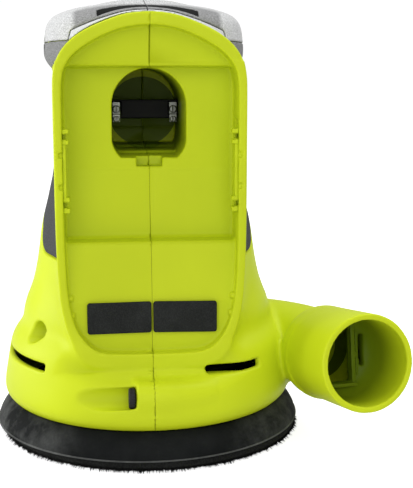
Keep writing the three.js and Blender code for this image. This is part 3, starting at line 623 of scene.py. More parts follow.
@dataclass(frozen=True)
class SoftGrip:
    """Soft overmould: two greys in a fine speckle, with a rough matt skin.

    Where crest is set, the skin's rear below that height in metres is painted darker, as painted shade on
    the rear face, and fine ribs run over the top above it.
    """

    name: str
    dark: tuple[float, float, float]
    light: tuple[float, float, float]
    grain: Grain = Grain.SPECKLED
    roughness: float = 0.66
    crest: float = 0.0
    facet_half: float = 0.0285
    rib_pitch: float = 0.00115

    def material(self) -> bpy.types.Material:
        """Builds the material."""
        n = Nodes(self.name)
        fine = n.noise(1900, 2, 0.6)
        dots = n.cells(1500)
        patch = n.noise(40, 3, 0.5)
        if self.grain is Grain.SPECKLED:
            share = (fine.ramp(0.36, 0.64) * 0.65 + dots.ramp(0.15, 0.5) * 0.35).clamped()
        else:
            share = (fine.ramp(0.3, 0.7) * 0.3 + patch.ramp(0.3, 0.7) * 0.5).clamped()
        base = n.mix(share, self.dark, self.light)
        layers = [(fine, 0.00016), (dots, 0.00012)]
        if self.crest:
            x, y, z = n.axis("X"), n.axis("Y"), n.axis("Z")
            height = z + x * x * 4.5
            across = 1 - ((x * x) ** 0.5).ramp(self.facet_half - 0.001, self.facet_half + 0.001)
            below = 1 - height.ramp(self.crest - 0.0006, self.crest + 0.0008)
            rear_shade = across * below * (0 - y).ramp(0, 0.01)
            # Painted shade: the rear face below the crest takes darker copies of both greys.
            deep = tuple(c * 0.5 for c in self.light)
            base = n.mix(rear_shade, base, n.mix(fine.ramp(0.3, 0.7), tuple(c * 0.55 for c in self.dark), deep))
            on_top = across * height.ramp(self.crest, self.crest + 0.001)
            ribs = (x * (2 * math.pi / self.rib_pitch)).sine() * on_top
            layers.append((ribs, 0.0001))
        rough = patch * 0.12 + self.roughness
        n.set(Base_Color=base, Roughness=rough.clamped(), Specular_IOR_Level=0.25)
        n.bump(*layers)
        return n.material


@dataclass(frozen=True)
class Rubber:
    """Matt moulded rubber with chalky bloom in soft patches; towards its left and right sides the bloom is
    raised as a painted sheen, and a paler band along its lip is a painted highlight.
    """

    name: str
    colour: tuple[float, float, float] = (0.0055, 0.0065, 0.0065)
    # Pale colour of the chalky bloom, also used for the painted sheen and the painted lip highlight.
    bloom: tuple[float, float, float] = (0.17, 0.175, 0.17)
    amount: float = 1.0
    # Distance from the middle in metres where the painted side sheen starts to rise.
    side_sheen_start: float = 0.026
    # Heights in metres of the painted highlight band along the lip.
    lip: tuple[float, float] = (0.0047, 0.0052)

    def material(self) -> bpy.types.Material:
        """Builds the material."""
        n = Nodes(self.name)
        cloud = n.noise(60, 6, 0.66)
        dust = n.noise(1100, 3, 0.7)
        rub = n.noise(240, 4, 0.7, (1, 1, 0.25))
        x = n.axis("X")
        sideways = (x * x) ** 0.5
        # Painted sheen: the bloom is stronger towards the left and right sides than in the middle.
        side_sheen = sideways.ramp(self.side_sheen_start, 0.062) * 0.85 + 0.05
        share = cloud.ramp(0.40, 0.72) * (dust * 0.6 + 0.4) * side_sheen + rub.ramp(0.6, 0.8) * side_sheen * 0.35
        z = n.axis("Z")
        # Painted highlight: a paler band along the top edge of the skirt's lip.
        edge = (z > self.lip[0]) * (self.lip[1] - z > 0) * (rub * 0.5 + 0.1)
        base = n.mix((share * self.amount + edge).clamped(), self.colour, self.bloom)
        n.set(Base_Color=base, Roughness=(cloud * 0.2 + 0.6).clamped(), Specular_IOR_Level=0.07)
        n.bump((dust, 0.00005), (n.noise(160, 2, 0.5), 0.0001))
        return n.material


@dataclass(frozen=True)
class Foam:
    """Cellular foam: dark body with open pores painted darker than the paler cell walls, as painted shade in
    the pores, and grey cloudy patches.
    """

    name: str
    colour: tuple[float, float, float]
    pore: float = 1500.0
    depth: float = 0.0002

    def material(self) -> bpy.types.Material:
        """Builds the material."""
        n = Nodes(self.name)
        cell = n.cells(self.pore)
        cloud = n.noise(120, 4, 0.6)
        # Painted shade: the pores, near the cell centres, are darker than the paler cell walls.
        wall = cell.ramp(0.35, 0.7)
        light = tuple(c * 2.1 + 0.004 for c in self.colour)
        base = n.mix((wall * 0.6 + cloud.ramp(0.4, 0.7) * 0.4).clamped(), self.colour, light)
        n.set(Base_Color=base, Roughness=0.9, Specular_IOR_Level=0.15)
        n.bump((cell, self.depth), (cloud, 0.00015))
        return n.material


@dataclass(frozen=True)
class Metal:
    """Metal with turning marks, faint stains and dulled patches."""

    name: str
    colour: tuple[float, float, float]
    roughness: float = 0.3
    stain: float = 0.35
    metallic: float = 1.0

    def material(self) -> bpy.types.Material:
        """Builds the material."""
        n = Nodes(self.name)
        line = n.noise(2200, 2, 0.5, (0.15, 0.15, 1))
        patch = n.noise(90, 4, 0.6)
        dull = tuple(c * (1 - self.stain) for c in self.colour)
        base = n.mix(patch.ramp(0.35, 0.7), dull, self.colour)
        rough = line * 0.12 + patch * 0.15 + (self.roughness - 0.1)
        n.set(Base_Color=base, Metallic=self.metallic, Roughness=rough.clamped())
        n.bump((line, 0.000015), (patch, 0.00003))
        return n.material


@dataclass(frozen=True)
class Pile:
    """Short plastic hooks: charcoal with paler tips in drifts."""

    name: str

    def material(self) -> bpy.types.Material:
        """Builds the material."""
        n = Nodes(self.name)
        tuft = n.noise(1400, 3, 0.6)
        drift = n.noise(60, 3, 0.5)
        base = n.mix((tuft.ramp(0.4, 0.75) * drift.ramp(0.3, 0.7)).clamped(), (0.003, 0.0035, 0.003),
                     (0.028, 0.028, 0.027))
        n.set(Base_Color=base, Roughness=0.85, Specular_IOR_Level=0.1)
        n.bump((tuft, 0.0003))
        return n.material


class Finishes:
    """The object's materials, each built once."""

    def __init__(self) -> None:
        """Builds every finish."""
        port = tuple(value * MM for value in PORT_MOUTH)
        socket, rearward = (0.0, -0.031, 0.1325), (0.0, -1.0, 0.0)
        # The four holes paint shade deep in the dust port's bore and in the stem socket.
        self.lime = Moulding("lime_plastic", (0.535, 0.63, 0.012), shade_hollows=(
            ShadedHollow(port, PORT_AXIS, 0.0182, 0.003, 0.028, 0.0355, 0.86),
            ShadedHollow(port, PORT_AXIS, 0.0135, 0.030, 0.036, 0.055, 0.9),
            ShadedHollow(socket, rearward, 0.0195, 0.002, 0.045, 0.0600, 0.82),
            ShadedHollow(socket, rearward, 0.0153, 0.020, 0.050, 0.0622, 0.85),
        )).material()
        self.palm = SoftGrip("palm_overmould", (0.27, 0.273, 0.272), (0.66, 0.665, 0.665),
                             crest=0.1764).material()
        self.low_head = SoftGrip("head_overmould", (0.09, 0.092, 0.092), (0.26, 0.263, 0.263)).material()
        self.trim = SoftGrip("trim_overmould", (0.50, 0.51, 0.525), (0.70, 0.71, 0.725),
                             Grain.SATIN).material()
        self.flank = SoftGrip("flank_overmould", (0.02, 0.021, 0.023), (0.055, 0.057, 0.06)).material()
        self.rubber = Rubber("skirt_rubber").material()
        self.boot = Rubber("boot_rubber", (0.014, 0.014, 0.015), (0.05, 0.05, 0.05), 0.3, 0.0,
                           (0.0, 0.0)).material()
        # Dark rubber for the liner under the palm grip; under its air slot that liner stands in for shade
        # (painted shade).
        self.shade = Rubber("painted_shade_liner", (0.003, 0.0035, 0.003), (0.012, 0.012, 0.012), 0.3, 0.0,
                            (0.0, 0.0)).material()
        self.black = Moulding("black_plastic", (0.005, 0.005, 0.006), 0.5, drift=0.2).material()
        self.bay_foam = Foam("bay_foam", (0.011, 0.012, 0.0115), 2600, 0.00006).material()
        self.pad_foam = Foam("pad_foam", (0.007, 0.0075, 0.007), 1300, 0.0003).material()
        self.pile = Pile("hook_pile").material()
        self.steel = Metal("steel", (0.55, 0.56, 0.57)).material()
        self.black_steel = Metal("black_steel", (0.012, 0.012, 0.013), 0.5, metallic=0.4).material()
        self.tin = Metal("tinned_plate", (0.5, 0.51, 0.49), 0.42, 0.5).material()
        self.zinc = Metal("cast_zinc", (0.5, 0.51, 0.53), 0.5, 0.45).material()
        self.brass = Metal("brass", (0.75, 0.60, 0.34), 0.32).material()
        self.copper = Metal("copper", (0.70, 0.33, 0.17), 0.35).material()
        self.red = Moulding("red_insulation", (0.45, 0.015, 0.012), 0.4).material()


FINISH = Finishes()
SLOT_FINISH = {
    "lime_shell": FINISH.lime, "palm_grip": FINISH.palm, "side_grip": FINISH.flank,
    "skirt_rubber": FINISH.rubber, "bay_foam": FINISH.bay_foam, "pad_foam": FINISH.pad_foam,
    "hook_pile": FINISH.pile, "black_plastic": FINISH.black, "switch_rubber": FINISH.boot,
    "steel": FINISH.steel, "black_steel": FINISH.black_steel, "cast_zinc": FINISH.zinc,
    "copper": FINISH.copper, "brass": FINISH.brass, "ferrite": FINISH.black, "carbon": FINISH.boot,
    "red_wire": FINISH.red, "black_wire": FINISH.black,
}


def install(obj: bpy.types.Object, material: bpy.types.Material, body: str,
            stands_for: Sequence[str] = ()) -> bpy.types.Object:
    """Gives a piece its material and its body, and hides the nodes that it stands for."""
    obj.data.materials.clear()
    obj.data.materials.append(material)
    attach(obj, body)
    if stands_for:
        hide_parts(*stands_for)
    LOG.info("%s: %d faces", obj.name, len(obj.data.polygons))
    return obj


# --------------------------------------------------------------------------- dust port
@dataclass
class DustPort:
    """The round dust port, its neck from the body, and the check plate in it, as distance fields.

    Places in it are given by the depth below its mouth, the distance across from its axis and the
    height above its axis.
    """

    mouth: tuple[float, float, float] = PORT_MOUTH
    axis: tuple[float, float, float] = PORT_AXIS
    radius: float = 18.8
    bore: float = 16.7
    length: float = 42.0
    plate_depth: float = 29.0
    duct_half: tuple[float, float] = (6.2, 11.2)
    slot_across: float = 11.2
    slot_half: tuple[float, float] = (0.8, 6.6)
    neck_radius: float = 16.6
    neck_bore: float = 13.6
    neck_bend: float = 45.0
    neck_drop: float = 0.6
    body_reach: float = 36.0
    frame_bars: tuple = (
        ((6.3, -12.0, 27.2), (8.1, 12.4, 29.6), 0.25),
        ((8.5, -11.0, 27.8), (9.6, 11.6, 29.6), 0.2),
        ((-6.0, -13.4, 25.5), (8.1, -11.9, 29.6), 0.25),
        ((7.7, -1.6, 27.2), (8.9, 0.2, 29.6), 0.2),
    )

    def __post_init__(self) -> None:
        """Works out the port's root and the level direction across it."""
        self.root = np.array(self.mouth) - np.array(self.axis) * self.length
        self.side = math.cos(PORT_AZIMUTH), math.sin(PORT_AZIMUTH)

    def depth(self, x: Array, y: Array, z: Array) -> tuple[Array, Array]:
        """Depth below the port's mouth and distance from its axis."""
        dx, dy, dz = x - self.mouth[0], y - self.mouth[1], z - self.mouth[2]
        depth = -(dx * self.axis[0] + dy * self.axis[1] + dz * self.axis[2])
        radial = np.sqrt(np.maximum(dx * dx + dy * dy + dz * dz - depth * depth, 0))
        return depth, radial

    def across(self, x: Array, y: Array, z: Array, depth: Array) -> tuple[Array, Array]:
        """Level distance across from the axis and height above it, at places of a known depth."""
        across = (x - self.mouth[0]) * self.side[0] + (y - self.mouth[1]) * self.side[1]
        above = (z - self.mouth[2] + depth * self.axis[2]) / math.cos(PORT_RISE)
        return across, above

    def neck_gap(self, x: Array, y: Array, z: Array) -> Array:
        """Distance from the neck's centre line, an arc that turns from the port's root into the body."""
        centre = self.root[:2] - np.array(self.side) * self.neck_bend
        ring = np.sqrt((x - centre[0]) ** 2 + (y - centre[1]) ** 2) - self.neck_bend
        rise = z - (self.root[2] - self.neck_drop)
        return np.sqrt(ring * ring + rise * rise)

    def join(self, x: Array, y: Array, z: Array, body: Array) -> Array:
        """The body joined to the neck, and the neck to the port's tube."""
        depth, radial = self.depth(x, y, z)
        neck = common(self.neck_gap(x, y, z) - self.neck_radius, self.length - 5 - depth)
        tube = common(common(radial - self.radius, -depth, 0.8), depth - self.length, 4.0)
        return union(union(body, union(neck, tube, 5.0), 4.0), tube, 1.0)

    def cuts(self, x: Array, y: Array, z: Array) -> Array:
        """The bore, the duct and the narrow slot in the plate at its end, and the neck's hollow."""
        depth, radial = self.depth(x, y, z)
        across, above = self.across(x, y, z, depth)
        bore = common(radial - self.bore, depth - self.plate_depth, 9.0)
        half, tall = self.duct_half
        duct = common(np.abs(across) - half, np.abs(above + 0.5) - tall, 1.0)
        half, tall = self.slot_half
        slot = common(np.abs(across - self.slot_across) - half, np.abs(above - 1.0) - tall, 0.6)
        plate = np.abs(depth - self.plate_depth - 2.0) - 5.0
        openings = np.maximum(np.minimum(duct, slot), plate)
        hollow = np.maximum(self.neck_gap(x, y, z) - self.neck_bore, self.plate_depth + 2.6 - depth)
        hollow = np.maximum(hollow, self.body_reach - x)
        seam = common(np.abs(across - 8.0) - 0.14, np.abs(depth - self.plate_depth) - 0.5)
        return np.minimum(np.minimum(bore, seam), np.minimum(openings, hollow))

    def frame_bar(self, x: Array, y: Array, z: Array) -> Array:
        """Frame of the check plate: two upright strips, a tab across their gap and a ledge."""
        depth, _ = self.depth(x, y, z)
        across, above = self.across(x, y, z, depth)
        bars = [block(across, above, depth, low, high, rounding) for low, high, rounding in self.frame_bars]
        return np.minimum.reduce(np.broadcast_arrays(*bars))

    def build(self) -> None:
        """Makes the check plate's frame; the tube and the neck are part of the shell."""
        piece = solid("port_frame", self.frame_bar, (66, -38, 20), (96, -24, 54), 0.3, smooth_angle=40)
        install(piece, FINISH.lime, "housing")


# --------------------------------------------------------------------------- casing
@dataclass
class Casing:
    """The clamshell, its overmoulded grips and every opening in it, as distance fields."""

    seam: float = 0.06
    skirt_low: float = 14.6
    wall: float = 2.5
    upper_wall: float = 3.6
    head_wall: float = 4.6
    motor_room: tuple[float, float, float] = (21.3, 71, 32)
    body_pairs: tuple = (
        (14.6, 57.0), (15.4, 58.7), (16.6, 59.9), (18.5, 60.7), (20.5, 60.9), (24, 60.5), (28, 59.8),
        (32, 59.1), (36, 58.4), (39.5, 57.6), (42, 56.5), (44.3, 54.9), (46.2, 53.4), (48.5, 52.6),
        (52, 52.1), (56, 51.0), (60, 49.3), (64, 47.9), (68, 46.9), (73, 45.9), (79, 45), (85, 44.2),
        (91, 43), (97, 41.3), (103, 39.6), (108, 38.0), (116, 36.2), (126, 35.2), (138, 35.4), (152, 37),
    )
    screw_ridge: tuple[float, float, float] = (54.7, 27.4, 5.8)
    rim_y: float = -47.0
    bay_back: float = -8.0
    foot_z: float = 35.5
    rim_outer: tuple = (
        (0, 171.3), (9.5, 170.3), (18.2, 167.3), (25.2, 163.9), (30.7, 159.6), (34.2, 154.6), (35.6, 149),
        (36, 142), (36, 120), (36, 100), (35.8, 82), (35.2, 68), (34.0, 58), (31.4, 49.5), (27, 43),
        (21, 39.2), (12, 38.2), (0, 38),
    )
    rim_inner: tuple = (
        (0, 166.5), (9, 165.5), (17, 162.7), (23.4, 159.3), (28.3, 155.6), (31.4, 151.4), (32.6, 147),
        (33, 141), (33, 120), (33, 100), (32.8, 82), (32.2, 68), (31.0, 59), (28.6, 51.6), (24.4, 46),
        (19.5, 43.2), (12, 42.5), (0, 42.4),
    )
    floor: tuple = (
        (-41.6, 168), (-39.3, 153.2), (-38.6, 151.6), (-31.2, 151), (-30.5, 112), (-33, 86.4),
        (-34.5, 85.4), (-39.7, 84.9), (-40.6, 83.8), (-43.8, 62), (-44.0, 40),
    )
    socket_half: float = 14.4
    socket_top: float = 151.0
    socket_low: float = 116.5
    socket_deep: float = 31.0
    head_centre: float = 30.0
    head_front: float = 33.0
    head_rear: float = 66.0
    head_width: float = 42.0
    head_pairs: tuple = (
        (0, 180.8), (6.5, 180.5), (12.6, 179.6), (18, 178.3), (23.1, 176.9), (31.5, 175.0), (38.0, 172.3),
        (40.9, 168.8), (42.0, 163.5), (42.3, 158.0), (41.6, 154.6), (38.6, 150.6), (34.0, 147.2),
        (26, 145.2), (12, 144.2), (0, 144.0),
    )
    parting: float = 161.4
    grip_lap: float = 0.3
    grip_low: float = 145.5
    groove: float = 1.7
    flank_foot: float = 76.2
    flank_top: float = 143.0
    flank_front: tuple = ((70, -12), (75, -11), (86, -8), (95, 2), (105, 12), (120, 20), (142, 24))
    slot_half: float = 19.5
    slot_crest: float = 175.4
    slot_sag: float = 4.0
    air_hole: tuple[float, float, float] = (2.5, 160.2, 4.2)
    trim_line: tuple = (
        (0, 173.3), (5, 173.0), (10, 172.1), (18.5, 169.4), (24, 167.4), (28.5, 165.6), (31, 164.3),
    )
    trim_half: float = 29.4
    latch_holes: tuple = ((124.5, 126.5), (98.9, 101.0))
    latch_dents: tuple = ((117.6, 119.8), (105.7, 107.9))
    latch_tabs: tuple = ((126.8, 128.3), (122.7, 124.2), (101.3, 102.7), (97.0, 98.6))
    vents: tuple = ((23, 47), (-88, -46), (-134, -92))
    vent_height: float = 35.5
    vent_half: float = 1.65
    vent_radius: float = 58.5
    screw_bore: float = 4.3
    screw_shank: float = 2.0
    screw_boss: float = 6.2
    switch_window: tuple = ((-8.5, 53.2, 150.0), (8.5, 80, 163.0))
    slot_mark: tuple = ((31.6, -44.4, 128.8), (33.9, -36, 131.8))
    pegs: tuple = (((30.2, -45.4, 63.0), (36, -40, 65.0)), ((29.6, -45.4, 56.2), (36, -40, 58.2)))
    screws: tuple = ((-56.6, 27.5, -7), (52.5, 27.5, -7), (-28, 47, -12), (28, 47, -12), (27, 106, -12),
                     (30, 161, -12))
    port: DustPort = field(default_factory=DustPort)
    outlines: dict = field(default_factory=dict)

    def __post_init__(self) -> None:
        """Prepares the profile, the outlines and the line that the rear air slot follows."""
        self.body = Profile(self.body_pairs)
        for name, half in (("outer", self.rim_outer), ("inner", self.rim_inner)):
            right = np.array(half, float)
            left = right[::-1][1:-1] * (-1, 1)
            self.outlines[name] = Outline(smooth_line(np.vstack([right, left]), True, 4))
        steps = np.array(self.floor, float)
        room = np.vstack([steps, [(-90, 40), (-90, 168)]])
        self.outlines["room"] = Outline(room)
        head = np.array(self.head_pairs, float)
        head = np.vstack([head, head[::-1][1:-1] * (-1, 1)])
        self.outlines["head"] = Outline(smooth_line(head, True, 4))
        self.outlines["socket"] = Outline(self._socket())
        x = np.linspace(-21, 21, 43)[:, None]
        y = np.linspace(-40, 0, 401)[None, :]
        inside = self.head_form(x, y, self.slot_height(x)) < 0
        self.slot_line = x[:, 0], y[0, inside.argmax(1)]

    def _socket(self) -> Array:
        """Outline of the stem socket: a half circle over straight sides, with a notch below."""
        w, low = self.socket_half, self.socket_low
        centre = self.socket_top - w
        t = np.linspace(0, np.pi, 25)
        arch = np.stack([w * np.cos(t), centre + w * np.sin(t)], 1)
        t = np.linspace(0, 1, 7)[:, None]
        bend = 2 * t * (1 - t) * (-w + 0.4, low + 3)
        side = (1 - t) ** 2 * (-w, low + 6.5) + bend + t ** 2 * (-w + 3.4, low)
        notch = np.array([(-5, low), (-5, low - 3.4), (5, low - 3.4), (5, low)])
        return np.vstack([arch, side, notch, side[::-1] * (-1, 1)])

    def head_form(self, x: Array, y: Array, z: Array) -> Array:
        """Distance to the head: its profile turned about an upright axis, stretched to a plan outline.

        The plan radius is (|cos/a|^n + |sin/b|^n)^(-1/n), with b and n set apart for front and rear.
        """
        dy = y - self.head_centre
        rho = np.sqrt(x * x + dy * dy) + 1e-6
        cos, sin = np.abs(x) / rho, dy / rho
        front = sin > 0
        n = np.where(front, 2.3, 3.0)
        b = np.where(front, self.head_front, self.head_rear)
        plan = ((cos / self.head_width) ** n + (np.abs(sin) / b) ** n) ** (-1 / n)
        d = self.outlines["head"](rho * self.head_width / plan, z)
        return d * np.clip(plan / self.head_width, 0.8, 1.15)

    def rear_flat(self, y: Array, z: Array) -> Array:
        """Distance to the open space behind the bay's rim plane and above the slope at its foot."""
        above = 0.88 * (z - self.foot_z) - 0.47 * (y - self.rim_y)
        return np.maximum(y - self.rim_y, -above)

    def outer(self, x: Array, y: Array, z: Array) -> Array:
        """Outside of the closed tool, grips included."""
        rho = np.sqrt(x * x + y * y)
        body = self.body(rho, z)
        body = cut(body, self.rear_flat(y, z), 4.0)
        ring, height, thick = self.screw_ridge
        ridge = np.sqrt((rho - ring) ** 2 + (z - height) ** 2) - thick + 0.06 * np.maximum(x - 6, 0)
        ridge = common(ridge, np.maximum(np.abs(x - 8) - 15, y), 1.5)
        body = union(body, ridge, 2.5)
        arch = self.outlines["outer"](x, z)
        bay = common(common(arch, self.rim_y - y, 1.1), y - self.bay_back)
        low = union(body, bay, 7.0)
        low = np.maximum(low, z - 153)
        return union(union(low, bay, 1.0), self.head_form(x, y, z), 3.0)

    def inner(self, x: Array, y: Array, z: Array) -> Array:
        """Room inside the shell for the motor, fan and switch."""
        rho = np.sqrt(x * x + y * y)
        wall = np.interp(z, (60, 70), (self.wall, self.upper_wall))
        body = np.maximum(self.body(rho, z) + wall, z - 150)
        head = self.head_form(x, y, z) + self.head_wall
        room = np.maximum(union(body, head), 2.4 - self.outlines["room"](y, z))
        room = np.maximum(room, 3.0 - self.rear_flat(y, z))
        socket = np.maximum(self.outlines["socket"](x, z) - 2.2, y - self.socket_deep - 2.2)
        return np.maximum(room, -socket)

    def flank(self, x: Array, y: Array, z: Array) -> Array:
        """Region of the side grips: behind the bay, with a slanted front edge and a round foot."""
        front = np.interp(z, *zip(*self.flank_front))
        edge = common(y - front, self.flank_foot + 0.03 * (y + 40) - z, 9.0)
        return np.maximum(np.maximum(edge, z - self.flank_top), np.maximum(-44 - y, 12 - np.abs(x)))

    def palm(self, x: Array, y: Array, z: Array) -> Array:
        """Region of the palm grip: everything on the head above the parting line."""
        return self.parting - self.grip_lap - z + 0 * x

    def lower_head(self, x: Array, y: Array, z: Array) -> Array:
        """Region of the head's lower grip: below the parting line, forward of the bay."""
        return np.maximum(np.maximum(z - self.parting - self.grip_lap, self.grip_low - z), -34 - y)

    def off_rim(self, form: Array, x: Array, y: Array, z: Array, gap: float) -> Array:
        """The form without what lies inside the bay's outline or within a gap of it."""
        return np.maximum(form, np.where(y < -7.5, gap - self.outlines["outer"](x, z), -100))

    def grooved(self, x: Array, y: Array, z: Array) -> Array:
        """Depth by which the shell lies under the grips at a place."""
        head = np.maximum(self.head_form(x, y, z), 143.5 - z)
        palm = np.clip(0.5 - self.palm(x, y, z) / 0.4, 0, 1)
        low = np.clip(0.5 - self.lower_head(x, y, z) / 0.4, 0, 1)
        on_head = np.clip(0.5 - (head - 0.6) / 0.6, 0, 1)
        clear = np.clip(0.5 - self.off_rim(np.float32(-1), x, y, z, 0.4) / 0.6, 0, 1)
        side = np.clip(0.5 - self.flank(x, y, z) / 0.8, 0, 1)
        away = np.clip(0.5 + (head - 0.4) / 0.4, 0, 1)
        side = side * away * clear
        return self.groove * np.maximum(np.maximum(palm, low) * on_head * clear, side)

    def bay_cuts(self, x: Array, y: Array, z: Array) -> Array:
        """Bay recess with its latch holes, rim notches, side slots and pegs."""
        recess = common(self.outlines["inner"](x, z), self.outlines["room"](y, z), 1.4)
        out = np.abs(x)
        holes = [block(out, y, z, (31.5, -45.9, low), (34.9, -41.0, high), 0.15)
                 for low, high in self.latch_holes]
        dents = [block(out, y, z, (32.4, -48, low), (34.3, -45.7, high), 0.15)
                 for low, high in self.latch_dents]
        slot = block(out, y, z, *self.slot_mark, 0.2)
        tool = np.minimum.reduce(np.broadcast_arrays(recess, *holes, *dents, slot))
        pegs = [block(out, y, z, low, high, 0.3) for low, high in self.pegs]
        return cut(tool, np.minimum(*pegs), 0.3)

    def socket_cut(self, x: Array, y: Array, z: Array) -> Array:
        """Stem socket, with two steps in its floor and a rib across its end."""
        step = np.interp(y, (-9.2, -8.8, 11.8, 12.2), (0.2, 1.3, 1.3, 2.4))
        ledge = np.where(y > -24, self.socket_low + step - z, -100)
        socket = common(self.outlines["socket"](x, z), y - self.socket_deep, 0.6)
        rib = np.maximum(np.abs(z - 125.4) - 0.35, np.abs(y - self.socket_deep) - 0.6)
        return common(socket, np.maximum(ledge, -rib), 0.3)

    def vent_cuts(self, x: Array, y: Array, z: Array) -> Array:
        """Round-ended vents in the body's wall, each between two angles about its axis."""
        rho = np.sqrt(x * x + y * y)
        theta = np.arctan2(x, -y)
        corner = 0.9
        slots = []
        for a, b in self.vents:
            middle, half = math.radians(a + b) / 2, math.radians(b - a) / 2
            turn = (theta - middle + np.pi) % (2 * np.pi) - np.pi
            along = (np.abs(turn) - half) * self.vent_radius + corner
            up = np.abs(z - self.vent_height) - self.vent_half + corner
            slot = np.sqrt(np.maximum(along, 0) ** 2 + np.maximum(up, 0) ** 2)
            slots.append(slot + np.minimum(np.maximum(along, up), 0) - corner)
        return np.maximum(np.minimum.reduce(np.broadcast_arrays(*slots)), np.abs(rho - 57) - 9)

    def screw_cuts(self, x: Array, y: Array, z: Array) -> Array:
        """Recesses for the case screws' heads and bores for their shanks."""
        bores = []
        for y0, z0, seat in self.screws:
            gap = np.sqrt((y - y0) ** 2 + (z - z0) ** 2)
            bores.append(np.maximum(gap - self.screw_bore, x - seat))
            bores.append(np.maximum(gap - self.screw_shank, x - 9))
        return np.minimum.reduce(np.broadcast_arrays(*bores))

    def cuts(self, x: Array, y: Array, z: Array) -> Array:
        """Bay recess, socket, vents, screw recesses, side holes and the switch's window, as one tool."""
        tool = union(self.bay_cuts(x, y, z), self.socket_cut(x, y, z), 0.7)
        tool = np.minimum(tool, self.vent_cuts(x, y, z))
        tool = np.minimum(tool, self.screw_cuts(x, y, z))
        window = block(x, y, z, *self.switch_window, 0.6)
        return np.minimum(np.minimum(tool, window), self.side_hole(x, y, z) + 0.4)

    def shell(self, x: Array, y: Array, z: Array) -> Array:
        """The hard green shell, both halves, without the port."""
        skin = self.outer(x, y, z) + self.grooved(x, y, z)
        return self._opened(skin, x, y, z)

    def shell_with_port(self, x: Array, y: Array, z: Array) -> Array:
        """The hard green shell with the dust port on it."""
        skin = self.port.join(x, y, z, self.outer(x, y, z) + self.grooved(x, y, z))
        form = self._opened(skin, x, y, z)
        return cut(form, self.port.cuts(x, y, z), 0.7)

    def _opened(self, skin: Array, x: Array, y: Array, z: Array) -> Array:
        """A skin made hollow, opened below, and cut by every tool."""
        bosses = [np.sqrt((y - y0) ** 2 + (z - z0) ** 2) - self.screw_boss for y0, z0, _ in self.screws]
        room = np.maximum(self.inner(x, y, z), -np.minimum.reduce(np.broadcast_arrays(*bosses)))
        rho = np.sqrt(x * x + y * y)
        chamber = np.maximum(self.body(rho, z) + self.wall, z - 20)
        radius, middle, half = self.motor_room
        motor = np.maximum(rho - radius, np.abs(z - middle) - half)
        form = np.maximum(skin, -np.minimum(np.minimum(room, chamber), motor))
        form = common(form, self.skirt_low - z, 0.8)
        return cut(form, self.cuts(x, y, z), 0.8)

    def latch_rail(self, x: Array, y: Array, z: Array) -> Array:
        """Rail along the bay's side wall with square tabs that stand out above and below each hole."""
        out = np.abs(x)
        form = block(out, y, z, (31.8, -45.4, 97.1), (32.97, -38, 128.2), 0.12)
        for low, high in self.latch_tabs:
            form = np.minimum(form, block(out, y, z, (30.7, -45.7, low), (32.97, -40.5, high), 0.12))
        for low, high in self.latch_holes:
            form = np.maximum(form, -block(out, y, z, (30, -48, low), (34, -41.5, high)))
        return form

    def build_rails(self) -> None:
        """Makes the latch rails of the bay's two side walls."""
        for name, side in (("left", -1), ("right", 1)):
            low, high = sorted((side * 30.2, side * 33.4))
            low, high = (low, -46.3, 96.3), (high, -37.2, 129)
            rail = solid(f"latch_rail_{name}", self.latch_rail, low, high, 0.22, smooth_angle=40)
            install(rail, FINISH.lime, "housing")

    def left_half(self, x: Array, y: Array, z: Array) -> Array:
        """The shell's left half."""
        return np.maximum(self.shell(x, y, z), x + self.seam)

    def right_half(self, x: Array, y: Array, z: Array) -> Array:
        """The shell's right half, which carries the port."""
        return np.maximum(self.shell_with_port(x, y, z), self.seam - x)

    def build(self) -> None:
        """Makes the two shell halves, the latch rails and the grips."""
        cell = 0.72
        piece = solid("shell_left", self.left_half, (-63, -62, 13.4), (0.9, 66, 182), cell,
                      seam=-self.seam, skin=self.shell)
        install(piece, FINISH.lime, "housing", ["left_housing"])
        piece = solid("shell_right", self.right_half, (-0.9, -68, 13.4), (102, 66, 182), cell,
                      seam=self.seam, skin=self.shell_with_port)
        install(piece, FINISH.lime, "housing", ["right_housing"])
        self.build_rails()
        self.port.build()
        self.build_grips()

    def layer(self, x: Array, y: Array, z: Array, top: float = 0.0, low: float = 1.5) -> Array:
        """The layer of the tool between two depths below its outside."""
        outer = self.outer(x, y, z)
        return np.maximum(outer + top, -(outer + low))

    def side_hole(self, x: Array, y: Array, z: Array) -> Array:
        """Round air hole through each side of the head."""
        y0, z0, radius = self.air_hole
        return np.maximum(np.sqrt((y - y0) ** 2 + (z - z0) ** 2) - radius, 32 - np.abs(x))

    def palm_slot(self, x: Array, y: Array, z: Array) -> Array:
        """Dark air slot across the rear of the palm grip, arched with it, and the holes on its sides."""
        share = (x / self.slot_half) ** 2
        tall = np.abs(z - self.slot_height(x)) - 0.95 - 0.3 * share
        deep = np.abs(y - np.interp(x, *self.slot_line)) - 4.8
        rear = np.maximum(np.maximum(tall, deep), np.maximum(0.5 - np.abs(x), np.abs(x) - self.slot_half))
        return np.minimum(rear, self.side_hole(x, y, z))

    def slot_height(self, x: Array) -> Array:
        """Height of the rear air slot's centre line."""
        return self.slot_crest - self.slot_sag * (x / self.slot_half) ** 2

    def palm_grip(self, x: Array, y: Array, z: Array) -> Array:
        """Palm grip: the head's outer layer above the parting line, with its slot and no trim."""
        form = common(self.layer(x, y, z, 0.0, 1.1), self.parting + 0.12 - z, 0.5)
        form = cut(form, self.trim_region(x, y, z) - 0.12, 0.4)
        return cut(self.off_rim(form, x, y, z, 0.5), self.palm_slot(x, y, z), 0.3)

    def liner(self, x: Array, y: Array, z: Array) -> Array:
        """Black liner under the rear of the palm grip, seen through the gaps between the grips; under the
        air slot it rises close to the surface as painted shade standing in for the slot's depth.
        """
